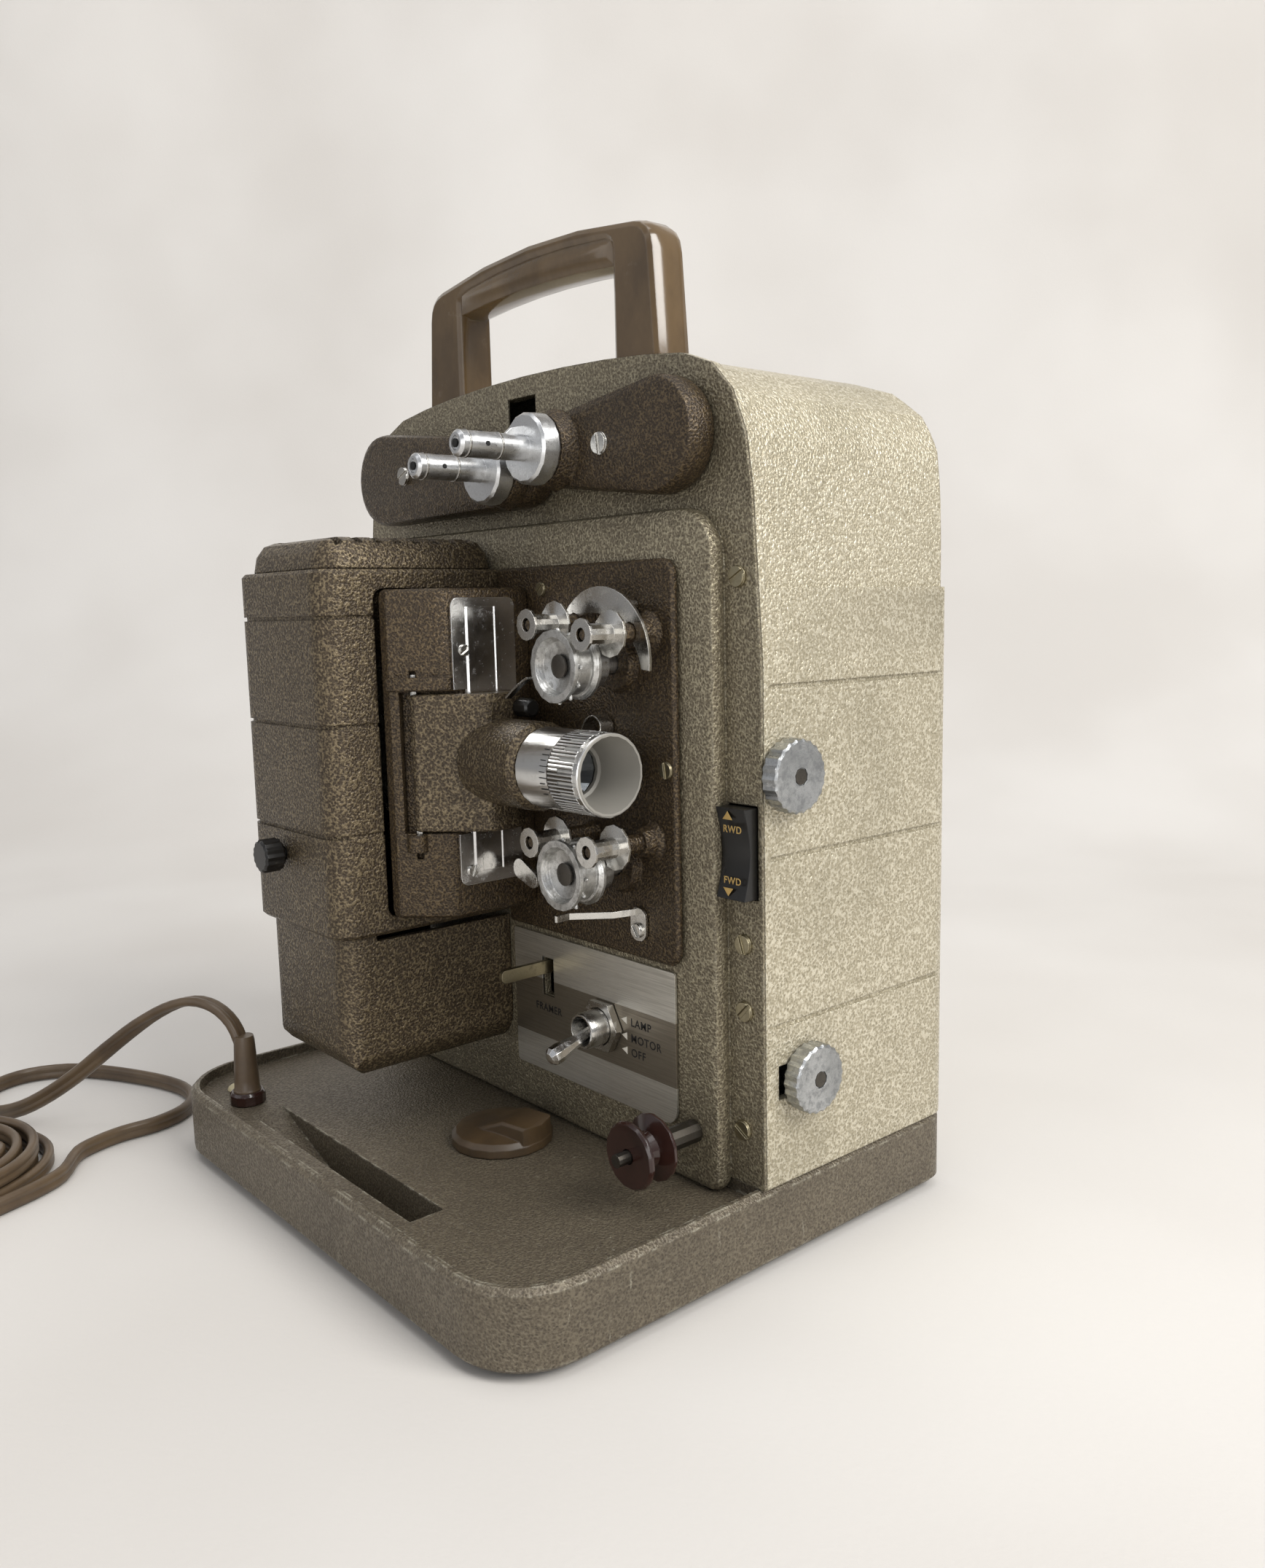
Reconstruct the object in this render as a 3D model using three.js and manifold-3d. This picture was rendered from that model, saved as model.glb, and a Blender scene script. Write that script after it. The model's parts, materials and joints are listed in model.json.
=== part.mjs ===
// Table-top film projector: a cover and faceplate tower on a cast tray, with an outboard lamphouse,
// a swing-out lens carrier, two folding reel arms and a tethered mains cord.
// Millimetres, +Z up, +X is the way the lens points, -Y is the operator's side.
import * as THREE from 'three';
import { mergeVertices } from 'three/addons/utils/BufferGeometryUtils.js';
import Module from 'manifold-3d';

const wasm = await Module();
wasm.setup();

// Offset that puts the middle of the footprint on the origin.
const SHIFT_X = 106.75;
const SHIFT_Y = 2.25;

// Share of the nominal facet count used on rounds and bevels.
const FINENESS = 0.62;

// Clearance left between pieces that rest on or run through one another.
const GAP = 0.3;

// Base tray.
const BASE_X0 = -220;
const BASE_X1 = 0;
const BASE_Y0 = -94.5;
const BASE_Y1 = 90;
const BASE_CORNER = 27;
const BASE_BOTTOM = 2.4;
const BASE_TOP = 26;
const TRAY_FLOOR = 22;
const RIM = 3;
const FOOT_INSET = 22;
const FOOT_RADIUS = 8;

// Parts pocket moulded into the tray.
const POCKET_X0 = -171;
const POCKET_X1 = -63.5;
const POCKET_Y0 = -83.2;
const POCKET_Y1 = -71.8;
const POCKET_RAMP = 36;
const POCKET_DEPTH = 12;

// Tower: cover behind the faceplate.
const TOWER_X0 = -213.8;
const TOWER_X1 = 0;
const TOWER_DEPTH = 90;
const TOWER_TOP = 273.5;
const TOWER_SHOULDER = 26;
const COVER_WALL = 2;
const COVER_BOTTOM = BASE_TOP + GAP;
const LEDGE_Z = 201.5;
const LEDGE_STEP = 2.2;
const BORDER = 2.5;
const GROOVE_Z = [75, 125.1, 174.2];
const GROOVE = 1.3;

// Faceplate with its raised panel, and the mechanism plate on the panel.
const RIM_FRONT = -1.2;
const PANEL_FRONT = -7;
const PANEL_X1 = -13.3;
const PANEL_TOP = 225;
const PLATE_FRONT = -10;
const PLATE_X0 = -113;
const PLATE_X1 = -26;
const PLATE_Z0 = 90;
const PLATE_Z1 = 211;

// Film path.
const FILM_Y = -29.5;
const LENS_Z = 149.9;
const SPROCKET_FRONT = -35.2;
const UPPER_SPROCKET = [-50.3, 180.6];
const LOWER_SPROCKET = [-50.6, 118.9];
const UPPER_ROLLERS = [[-36.9, 189.8], [-62.6, 192.7]];
const LOWER_ROLLERS = [[-37.1, 127.6], [-64.8, 127.0]];

// Gate housing and lens carrier.
const GATE_FACE = -94.7;
const HINGE_X = -103.2;
const HINGE_Y = -50;
const CARRIER_Z0 = 128;
const CARRIER_Z1 = 171.6;
const SHUTTER_Y = -23.5;
const SHUTTER_Z = 138.5;
const BARREL_RADIUS = 13.8;
const BARREL_FRONT = -62.2;
const LENS_RADIUS = 12.35;
const LENS_FRONT = -31.8;

// Lamphouse.
const LAMP_X0 = -176;
const LAMP_X1 = -113.6;
const LAMP_Y0 = -75;
const LAMP_BACK = PANEL_FRONT - GAP;
const LAMP_Z0 = 93.5;
const LAMP_Z1 = 211;
const LAMP_GROOVES = [127, 162, 196];
const LAMP_CORNER = 8;
const BULB_X = -143;
const BULB_Y = FILM_Y;

// Reel arms: each turns on its outer end; the spindle stands near the other end.
const ARM_FRONT = -13;
const ARM_BOSS = -18;
const SUPPLY_PIVOT = [-31.5, 245.6];
const SUPPLY_SPINDLE = [-75.6, 245.6];
const TAKE_UP_PIVOT = [-183, 246.2];
const TAKE_UP_SPINDLE = [-99.4, 241.4];
const ARM_BIG = 16.6;
const ARM_SMALL = 11.2;
const SPINDLE_RADIUS = 3.95;
const SPINDLE_TIP = -49;

// Handle.
const HANDLE_X0 = -172;
const HANDLE_X1 = -43;
const HANDLE_Y0 = 2.6;
const HANDLE_Y1 = 16.4;
const HANDLE_TOP = 316;

// Cord, 6.4 x 3.6 twin lead drawn as a round 5 mm tube.
const CORD_RADIUS = 3.1;
const COIL_CENTRE = [-240, -176];
const COIL_RADIUS = 34;
const COIL_WIDTH = 26;
const COIL_HEIGHT = 20;

const PAINT_BROWN = [0x5a4f40, 0.55, 0.45];
const PAINT_DARK = [0x3a3128, 0.55, 0.4];
const PAINT_OLIVE = [0x7b7466, 0.5, 0.5];
const PAINT_BEIGE = [0xb9b39c, 0.5, 0.4];
const ALUMINIUM = [0xc9cac8, 0.35, 0.9];
const STEEL = [0x9a9a98, 0.35, 0.95];
const CHROME = [0xd8d9db, 0.1, 1];
const DARK_STEEL = [0x3c3b3a, 0.45, 0.8];
const BROWN_PLASTIC = [0x7a5f45, 0.25, 0];
const TAN_PLASTIC = [0x8c6a48, 0.4, 0];
const MAROON_PLASTIC = [0x3d211c, 0.35, 0];
const BLACK_PLASTIC = [0x141414, 0.35, 0];
const CORD_VINYL = [0x54402f, 0.45, 0];
const RUBBER = [0x1b1b1b, 0.9, 0];
const GLASS = [0xdfe8ea, 0.05, 0];
const BRASS = [0xb08d4a, 0.35, 0.9];

const root = new THREE.Group();

// ---------- solid helpers ----------

function toSolid(geometry) {
  const bare = geometry.index ? geometry.toNonIndexed() : geometry.clone();
  for (const key of Object.keys(bare.attributes)) {
    if (key !== 'position') bare.deleteAttribute(key);
  }
  const merged = mergeVertices(bare, 1e-4);
  const mesh = new wasm.Mesh({
    numProp: 3,
    vertProperties: new Float32Array(merged.attributes.position.array),
    triVerts: new Uint32Array(merged.index.array),
  });
  mesh.merge();
  return new wasm.Manifold(mesh);
}

function toGeometry(solid) {
  const mesh = solid.getMesh();
  const geometry = new THREE.BufferGeometry();
  const points = new Float32Array(mesh.triVerts.length * 3);
  mesh.triVerts.forEach((vertex, i) => {
    for (let k = 0; k < 3; k += 1) points[3 * i + k] = mesh.vertProperties[vertex * mesh.numProp + k];
  });
  geometry.setAttribute('position', new THREE.BufferAttribute(points, 3));
  geometry.computeVertexNormals();
  return geometry;
}

function join(first, ...rest) {
  return rest.reduce((sum, solid) => sum.add(solid), first);
}

function cut(first, ...rest) {
  return rest.reduce((left, solid) => left.subtract(solid), first);
}

function common(first, ...rest) {
  return rest.reduce((left, solid) => left.intersect(solid), first);
}

function addNode(name, solid, look) {
  const geometry = toGeometry(solid);
  geometry.translate(SHIFT_X, SHIFT_Y, 0);
  const [color, roughness, metalness] = look;
  const mesh = new THREE.Mesh(
    geometry,
    new THREE.MeshStandardMaterial({ color, roughness, metalness }),
  );
  mesh.name = name;
  root.add(mesh);
}

// ---------- shapes ----------

function polygon(points) {
  const shape = new THREE.Shape();
  points.forEach(([x, y], i) => (i ? shape.lineTo(x, y) : shape.moveTo(x, y)));
  shape.closePath();
  return shape;
}

function roundedRect(x0, y0, x1, y1, radii) {
  const [a, b, c, d] = Array.isArray(radii) ? radii : [radii, radii, radii, radii];
  const shape = new THREE.Shape();
  shape.moveTo(x0 + a, y0);
  shape.lineTo(x1 - b, y0);
  if (b) shape.absarc(x1 - b, y0 + b, b, -Math.PI / 2, 0, false);
  shape.lineTo(x1, y1 - c);
  if (c) shape.absarc(x1 - c, y1 - c, c, 0, Math.PI / 2, false);
  shape.lineTo(x0 + d, y1);
  if (d) shape.absarc(x0 + d, y1 - d, d, Math.PI / 2, Math.PI, false);
  shape.lineTo(x0, y0 + a);
  if (a) shape.absarc(x0 + a, y0 + a, a, Math.PI, 1.5 * Math.PI, false);
  return shape;
}

// Straight-sided link between two circles, drawn anticlockwise.
function linkShape([x0, y0], r0, [x1, y1], r1, steps = 14) {
  const angle = Math.atan2(y1 - y0, x1 - x0);
  const spread = Math.acos((r0 - r1) / Math.hypot(x1 - x0, y1 - y0));
  const points = [];
  for (let i = 0; i <= steps; i += 1) {
    const t = angle + spread + ((2 * Math.PI - 2 * spread) * i) / steps;
    points.push([x0 + r0 * Math.cos(t), y0 + r0 * Math.sin(t)]);
  }
  for (let i = 0; i <= steps; i += 1) {
    const t = angle - spread + (2 * spread * i) / steps;
    points.push([x1 + r1 * Math.cos(t), y1 + r1 * Math.sin(t)]);
  }
  return polygon(points);
}

function extrude(shape, depth, options) {
  const { bevel = 0, size = bevel, segments = 2, curve = 5, holes = [] } = options;
  shape.holes.push(...holes);
  const geometry = new THREE.ExtrudeGeometry(shape, {
    depth: depth - 2 * bevel,
    bevelEnabled: bevel > 0,
    bevelThickness: bevel,
    bevelSize: size,
    bevelOffset: -size,
    bevelSegments: Math.max(1, Math.round(segments * FINENESS)),
    curveSegments: Math.max(2, Math.round(curve * FINENESS)),
  });
  geometry.translate(0, 0, bevel);
  return geometry;
}

const AXES = {
  z: [[1, 0, 0], [0, 1, 0], [0, 0, 1]],
  y: [[1, 0, 0], [0, 0, 1], [0, -1, 0]],
  x: [[0, 1, 0], [0, 0, 1], [1, 0, 0]],
};

// axis z: shape is (x, y) from z = from up to z = to.
// axis y: shape is (x, z) from y = from towards -Y to y = to.
// axis x: shape is (y, z) from x = from up to x = to.
function slab(axis, shape, from, to, options = {}) {
  const geometry = extrude(shape, Math.abs(to - from), options);
  const basis = AXES[axis].map((v) => new THREE.Vector3(...v));
  geometry.applyMatrix4(new THREE.Matrix4().makeBasis(...basis));
  const move = { x: [from, 0, 0], y: [0, from, 0], z: [0, 0, from] }[axis];
  geometry.translate(...move);
  return toSolid(geometry);
}

function block(x0, x1, y0, y1, z0, z1) {
  const geometry = new THREE.BoxGeometry(x1 - x0, y1 - y0, z1 - z0);
  geometry.translate((x0 + x1) / 2, (y0 + y1) / 2, (z0 + z1) / 2);
  return toSolid(geometry);
}

// Body of revolution: profile of [radius, distance along direction] from origin.
function turned(profile, origin, direction, segments = 24) {
  const points = profile.map(([r, h]) => new THREE.Vector2(r, h));
  const facets = segments < 9 ? segments : Math.max(8, Math.round(segments * FINENESS));
  const geometry = new THREE.LatheGeometry(points, facets);
  const turn = new THREE.Quaternion().setFromUnitVectors(
    new THREE.Vector3(0, 1, 0),
    new THREE.Vector3(...direction).normalize(),
  );
  geometry.applyQuaternion(turn);
  geometry.translate(...origin);
  return toSolid(geometry);
}

function rod(radius, origin, direction, length, segments = 16, chamfer = 0) {
  const profile = [[0, 0], [radius - chamfer, 0]];
  if (chamfer) profile.push([radius, chamfer], [radius, length - chamfer]);
  profile.push([radius - chamfer, length], [0, length]);
  return turned(profile, origin, direction, segments);
}

// ---------- tower outline ----------

// Arch of the tower, drawn inset by a given margin.
function towerShape(inset, bottom) {
  const x0 = TOWER_X0 + inset;
  const x1 = TOWER_X1 - inset;
  const middle = (TOWER_X0 + TOWER_X1) / 2;
  const top = TOWER_TOP - inset;
  const shape = new THREE.Shape();
  shape.moveTo(x0, bottom);
  shape.lineTo(x1, bottom);
  shape.lineTo(x1, 180);
  shape.lineTo(x1 - 3, 228);
  const side = TOWER_SHOULDER;
  shape.bezierCurveTo(x1 - 4.6, 252, x1 - 12, top - 8, x1 - side - 4, top - 4.8);
  shape.quadraticCurveTo(x1 - 60, top - 0.2, middle, top);
  shape.quadraticCurveTo(x0 + 60, top - 0.2, x0 + side + 4, top - 4.8);
  shape.bezierCurveTo(x0 + 12, top - 8, x0 + 4.6, 252, x0 + 3, 228);
  shape.lineTo(x0, 180);
  shape.closePath();
  return shape;
}

function coverBody(inset, bottom) {
  const back = TOWER_DEPTH - inset;
  const arch = slab('y', towerShape(inset, bottom), back, -1, { curve: 6 });
  const sideRadii = [0, 0, 28 - inset, 0];
  const side = roundedRect(-1, bottom, back, TOWER_TOP - inset, sideRadii);
  const profile = slab('x', side, TOWER_X0 - 1, TOWER_X1 + 1, { curve: 6 });
  const x0 = TOWER_X0 + inset;
  const x1 = TOWER_X1 - inset;
  const plan = roundedRect(x0, -1, x1, back, [0, 0, 9 - inset, 9 - inset]);
  const column = slab('z', plan, bottom, TOWER_TOP + 1, { curve: 5 });
  return common(arch, profile, column);
}

function ledgeTrim() {
  const outer = block(TOWER_X0 - 5, TOWER_X1 + 5, BORDER, TOWER_DEPTH + 5, LEDGE_Z, TOWER_TOP + 5);
  const kept = coverBody(LEDGE_STEP * 0.55, 150);
  return cut(outer, kept);
}

function grooveRing(z) {
  const outer = block(TOWER_X0 - 3, TOWER_X1 + 3, BORDER, TOWER_DEPTH + 3, z - GROOVE / 2, z + GROOVE / 2);
  const inner = block(
    TOWER_X0 + 0.7,
    TOWER_X1 - 0.7,
    -5,
    TOWER_DEPTH - 0.7,
    z - GROOVE,
    z + GROOVE,
  );
  return cut(outer, inner);
}

function caseCover() {
  const hollow = coverBody(COVER_WALL + 0.6, COVER_BOTTOM - 1);
  let body = cut(coverBody(0, COVER_BOTTOM), hollow);
  body = cut(body, block(-400, 400, -5, 0, 0, 400), ledgeTrim());
  for (const z of GROOVE_Z) body = cut(body, grooveRing(z));
  const knobHole = rod(5, [-8, 8.3, 148.9], [1, 0, 0], 12, 14);
  const speedSlot = block(-8, 4, 5.2, 24, 52.6, 63);
  addNode('case_cover', cut(body, knobHole, speedSlot), PAINT_BEIGE);
}

// ---------- base ----------

function baseCasting() {
  const plan = roundedRect(BASE_X0, BASE_Y0, BASE_X1, BASE_Y1, [BASE_CORNER, 24, 10, 10]);
  let body = slab('z', plan, BASE_BOTTOM, BASE_TOP, { bevel: 1.6, segments: 2, curve: 7 });
  const inner = roundedRect(
    BASE_X0 + RIM,
    BASE_Y0 + RIM,
    BASE_X1 - RIM,
    PANEL_FRONT + 6.8,
    [BASE_CORNER - RIM, 24 - RIM, 0, 0],
  );
  body = cut(body, slab('z', inner, TRAY_FLOOR, BASE_TOP + 3, { curve: 7 }));
  const under = roundedRect(
    BASE_X0 + RIM + 1,
    BASE_Y0 + RIM + 1,
    BASE_X1 - RIM - 1,
    BASE_Y1 - RIM - 1,
    [20, 18, 6, 6],
  );
  const well = block(
    POCKET_X0 - 3,
    POCKET_X1 + 3,
    BASE_Y0,
    POCKET_Y1 + 2.5,
    TRAY_FLOOR - POCKET_DEPTH - 2.4,
    TRAY_FLOOR,
  );
  const hollow = cut(slab('z', under, BASE_BOTTOM - 2, TRAY_FLOOR - 2.6, { curve: 5 }), well);
  body = cut(body, hollow);
  const section = polygon([
    [POCKET_X0, TRAY_FLOOR + 2],
    [POCKET_X0, TRAY_FLOOR],
    [POCKET_X0 + POCKET_RAMP, TRAY_FLOOR - POCKET_DEPTH],
    [POCKET_X1, TRAY_FLOOR - POCKET_DEPTH],
    [POCKET_X1, TRAY_FLOOR + 2],
  ]);
  body = cut(body, slab('y', section, POCKET_Y1, POCKET_Y0));
  const footHole = rod(9.6, [-93, -30, 0], [0, 0, 1], 30, 20);
  const cordHole = rod(4.6, [-184, -79, 10], [0, 0, 1], 20, 14);
  addNode('base_casting', cut(body, footHole, cordHole), PAINT_BROWN);
}

function baseUnderside() {
  const plan = roundedRect(
    BASE_X0 + RIM + 1.4,
    BASE_Y0 + RIM + 1.4,
    BASE_X1 - RIM - 1.4,
    BASE_Y1 - RIM - 1.4,
    [20, 18, 6, 6],
  );
  let plate = slab('z', plan, BASE_BOTTOM + 0.4, BASE_BOTTOM + 1.6, { curve: 5 });
  plate = cut(plate, rod(10.5, [-93, -30, 0], [0, 0, 1], 10, 20));
  for (let row = 0; row < 4; row += 1) {
    const x = -60 + row * 9;
    plate = cut(plate, slab('z', roundedRect(x, 30, x + 4, 64, 1.9), 0, 10, { curve: 2 }));
  }
  addNode('bottom_cover', plate, DARK_STEEL);
}

function feet() {
  const xs = [BASE_X0 + FOOT_INSET, BASE_X1 - FOOT_INSET];
  const ys = [BASE_Y0 + FOOT_INSET, BASE_Y1 - FOOT_INSET];
  let count = 0;
  for (const x of xs) {
    for (const y of ys) {
      count += 1;
      const profile = [[0, 0], [FOOT_RADIUS - 0.8, 0], [FOOT_RADIUS, 0.8]];
      profile.push([FOOT_RADIUS - 0.6, BASE_BOTTOM + 0.1], [0, BASE_BOTTOM + 0.1]);
      addNode(`rubber_foot_${count}`, turned(profile, [x, y, 0], [0, 0, 1], 18), RUBBER);
    }
  }
}

function tiltKnob() {
  const profile = [[0, 0], [17, 0], [17, 2.6], [15.6, 4.2], [9, 5.6], [0, 6.2]];
  const disc = turned(profile, [-93, -30, TRAY_FLOOR + GAP], [0, 0, 1], 28);
  const ridge = polygon([[-15, 0], [15, 0], [15, 7.2], [11, 8.8], [2, 9.6], [-15, 3.2]]);
  const geometry = extrude(ridge, 15, { bevel: 0.8, segments: 1 });
  geometry.rotateX(Math.PI / 2);
  geometry.rotateZ(0.35);
  geometry.translate(-91.5, -22.5, TRAY_FLOOR + GAP);
  const bar = common(toSolid(geometry), rod(16.8, [-93, -30, 20], [0, 0, 1], 20, 28));
  const stem = rod(4, [-93, -30, 13.5], [0, 0, 1], 10, 14);
  addNode('tilt_knob', join(disc, bar, stem), TAN_PLASTIC);
  const foot = turned(
    [[0, 0], [7, 0], [8.2, 1.2], [8.2, 5], [9, 6], [9, 12], [0, 12]],
    [-93, -30, 1],
    [0, 0, 1],
    20,
  );
  addNode('tilt_foot', foot, RUBBER);
}

// ---------- faceplate, panel and plates ----------

function faceplate() {
  const rim = slab('y', towerShape(0, COVER_BOTTOM), -GAP, RIM_FRONT, { curve: 6 });
  const tongue = slab('y', towerShape(3.4, COVER_BOTTOM + 1), 3.6, -0.6, { curve: 6 });
  const window = slab('y', towerShape(6.4, COVER_BOTTOM + 5), 5, -0.5, { curve: 5 });
  const panelShape = roundedRect(TOWER_X0 + 13.3, TRAY_FLOOR + GAP, PANEL_X1, PANEL_TOP, [4, 4, 14, 14]);
  const panel = slab('y', panelShape, -0.5, PANEL_FRONT, { bevel: 2.2, segments: 3, curve: 6 });
  const hollowShape = roundedRect(TOWER_X0 + 17, 30, PANEL_X1 - 4, PANEL_TOP - 5, 10);
  const hollow = slab('y', hollowShape, 1, PANEL_FRONT + 2.4, { curve: 3 });
  let body = join(rim, cut(tongue, window), panel);
  body = cut(body, hollow);
  const socket = block(-115.7, -100, -6, 6, 254, 267);
  const rocker = block(-13.6, -1.4, -4, 6, 113.3, 140.7);
  const toggle = rod(6.3, [-63.8, 2, 63.5], [0, -1, 0], 14, 18);
  const framer = block(-97, -91, -10, 2, 66.5, 79.5);
  body = cut(body, socket, rocker, toggle, framer);
  for (const [x, z] of [UPPER_SPROCKET, LOWER_SPROCKET]) {
    body = cut(body, rod(4.2, [x, 2, z], [0, -1, 0], 14, 14));
  }
  for (const [x, z] of [SUPPLY_PIVOT, TAKE_UP_PIVOT]) {
    body = cut(body, rod(5.2, [x, 5, z], [0, -1, 0], 14, 16));
  }
  body = cut(body, block(-160, -122, -10, 2, 120, 178));
  addNode('faceplate', body, PAINT_OLIVE);
}

function mechanismPlate() {
  const shape = roundedRect(PLATE_X0, PLATE_Z0, PLATE_X1, PLATE_Z1, [1, 5, 5, 1]);
  let body = slab('y', shape, PANEL_FRONT - GAP, PLATE_FRONT, { bevel: 0.9, segments: 1, curve: 4 });
  for (const [x, z] of [UPPER_ROLLERS[0], LOWER_ROLLERS[0]]) {
    const boss = [[0, 0], [7.4, 0], [5, 2.4], [4.1, 6.4], [0, 6.4]];
    body = join(body, turned(boss, [x, PLATE_FRONT + 1, z], [0, -1, 0], 18));
  }
  for (const [x, z] of [UPPER_ROLLERS[1], LOWER_ROLLERS[1]]) {
    body = join(body, rod(3.6, [x, PLATE_FRONT + 1, z], [0, -1, 0], 3.4, 14));
  }
  body = join(body, rollerPost(UPPER_ROLLERS[0], 9), rollerPost(LOWER_ROLLERS[0], 9));
  body = join(body, rollerPost(UPPER_ROLLERS[1], 12), rollerPost(LOWER_ROLLERS[1], 12));
  for (const [x, z] of [UPPER_SPROCKET, LOWER_SPROCKET]) {
    const boss = [[0, 0], [9.6, 0], [8.2, 4], [0, 4]];
    body = join(body, turned(boss, [x, PLATE_FRONT + 1, z], [0, -1, 0], 20));
    body = cut(body, rod(3.4, [x, -4, z], [0, -1, 0], 14, 14));
  }
  addNode('mechanism_plate', body, PAINT_DARK);
}

function nameplate() {
  const shape = roundedRect(-113, 39, -30, 87.5, [1, 5, 1, 1]);
  let body = slab('y', shape, PANEL_FRONT - GAP, PANEL_FRONT - 1.1, { curve: 3 });
  body = cut(body, block(-97.2, -90.8, -10, 0, 66.3, 79.7));
  body = cut(body, rod(6.6, [-63.8, 0, 63.5], [0, -1, 0], 14, 18));
  addNode('nameplate', body, ALUMINIUM);
}

// ---------- switches and levers ----------

function toggleSwitch() {
  const threads = [[3.4, -3], [6, -3], [6, 9]];
  threads.push([5.6, 9.8], [4.9, 9.8], [3.4, 4], [3.4, -3]);
  const bush = turned(threads, [-63.8, PANEL_FRONT - 1.4, 63.5], [0, -1, 0], 22);
  addNode('switch_bushing', bush, STEEL);
  const hex = [];
  for (let i = 0; i < 6; i += 1) {
    const t = (i * Math.PI) / 3;
    hex.push([-63.8 + 9 * Math.cos(t), 63.5 + 9 * Math.sin(t)]);
  }
  const nut = slab('y', polygon(hex), PANEL_FRONT - 1.4, PANEL_FRONT - 4);
  addNode('switch_nut', cut(nut, rod(6.3, [-63.8, 0, 63.5], [0, -1, 0], 20, 22)), STEEL);
  const tilt = -0.28;
  const way = [0, -Math.cos(tilt), Math.sin(tilt)];
  const bat = [[0, -5], [1.7, -5], [1.9, 6], [2.1, 10], [3.2, 17], [3.1, 19.4], [1.8, 20.8], [0, 21]];
  addNode('toggle_lever', turned(bat, [-63.8, -11, 63.5], way, 14), CHROME);
}

function framerLever() {
  const shape = roundedRect(-27.6, 74.6, -2, 79, [1.6, 0, 0, 1.6]);
  addNode('framer_lever', slab('x', shape, -94.9, -93.1, { curve: 3 }), BRASS);
}

function directionRocker() {
  const profile = polygon([
    [-1, 113.8],
    [-1, 140.2],
    [-6.4, 140.2],
    [-5.2, 136],
    [-4.2, 131],
    [-3.9, 127],
    [-4.2, 123],
    [-5.2, 118],
    [-6.4, 113.8],
  ]);
  addNode('direction_rocker', slab('x', profile, -13.1, -1.9), BLACK_PLASTIC);
}

function knurledKnob(name, y, z, radius) {
  const teeth = 22;
  const points = [];
  for (let i = 0; i < 2 * teeth; i += 1) {
    const t = (i * Math.PI) / teeth;
    const r = i % 2 ? radius - 0.5 : radius;
    points.push([y + r * Math.cos(t), z + r * Math.sin(t)]);
  }
  const body = slab('x', polygon(points), 0.6, 6.5, { bevel: 0.6, size: 0.6, segments: 1 });
  const shaft = rod(2.6, [-14, y, z], [1, 0, 0], 16, 14);
  const end = rod(2.7, [6, y, z], [1, 0, 0], 1.1, 14);
  addNode(name, cut(join(body, shaft), end), ALUMINIUM);
}

// ---------- film path ----------

function sprocket(name, [x, z]) {
  const h = 21;
  const profile = [[0, h - 7.5], [2.8, h - 7.5], [3.2, h - 3.2], [7.4, h - 2.4], [8.6, h]];
  profile.push([10.7, h], [10.7, h - 1.2], [9.5, h - 1.5], [9.5, h - 3.2], [8.6, h - 3.4]);
  profile.push([8.6, h - 7.8], [9.3, h - 8], [10.3, h - 9.2], [10.3, h - 10.2]);
  profile.push([6.6, h - 10.2], [6.6, h - 16.2], [3, h - 16.2], [3, -8], [0, -8]);
  let body = turned([...profile].reverse(), [x, SPROCKET_FRONT + h, z], [0, -1, 0], 28);
  for (let i = 0; i < 12; i += 1) {
    const t = (i * Math.PI) / 6;
    const way = [Math.cos(t), 0, Math.sin(t)];
    const at = [x + 9 * way[0], SPROCKET_FRONT + 2.3, z + 9 * way[2]];
    body = join(body, turned([[0, 0], [0.75, 0], [0.75, 1.4], [0.4, 2.1], [0, 2.1]], at, way, 6));
  }
  addNode(name, body, ALUMINIUM);
}

function roller(name, [x, z]) {
  const profile = [[2.05, 0], [4.7, 0], [4.7, 0.9], [3.1, 1.2], [3.1, 10], [6.9, 10.5], [6.9, 11.3]];
  profile.push([2.05, 11.3], [2.05, 0]);
  const body = turned(profile, [x, SPROCKET_FRONT, z], [0, 1, 0], 20);
  addNode(name, body, STEEL);
}

function rollerPost([x, z], length) {
  const profile = [[0, 0], [2.9, 0], [2.9, length], [1.7, length]];
  profile.push([1.7, length + 10.6], [1.4, length + 10.9], [0, length + 10.9]);
  return turned(profile, [x, SPROCKET_FRONT + 11.6 + length, z], [0, -1, 0], 14);
}

function filmGuard() {
  const [x, z] = UPPER_SPROCKET;
  const points = [];
  for (let i = 0; i <= 16; i += 1) {
    const t = -0.12 + (i * 2.75) / 16;
    points.push([x + 22 * Math.cos(t), z + 1 + 22 * Math.sin(t)]);
  }
  for (let i = 16; i >= 0; i -= 1) {
    const t = -0.12 + (i * 2.75) / 16;
    const r = 18.6 - 5 * Math.sin((i * Math.PI) / 16);
    points.push([x + r * Math.cos(t), z + 1 + r * Math.sin(t)]);
  }
  const blade = slab('y', polygon(points), -16.2, -17.2);
  const posts = [1.1, 1.7].map((t) => {
    const at = [x + 18.4 * Math.cos(t), PLATE_FRONT - GAP, z + 1 + 18.4 * Math.sin(t)];
    return rod(1.5, at, [0, -1, 0], 6.2, 10);
  });
  const holes = UPPER_ROLLERS.map(([u, v]) => rod(3.3, [u, -14, v], [0, -1, 0], 6, 14));
  addNode('upper_film_guard', cut(join(blade, ...posts), ...holes), STEEL);
}

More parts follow.
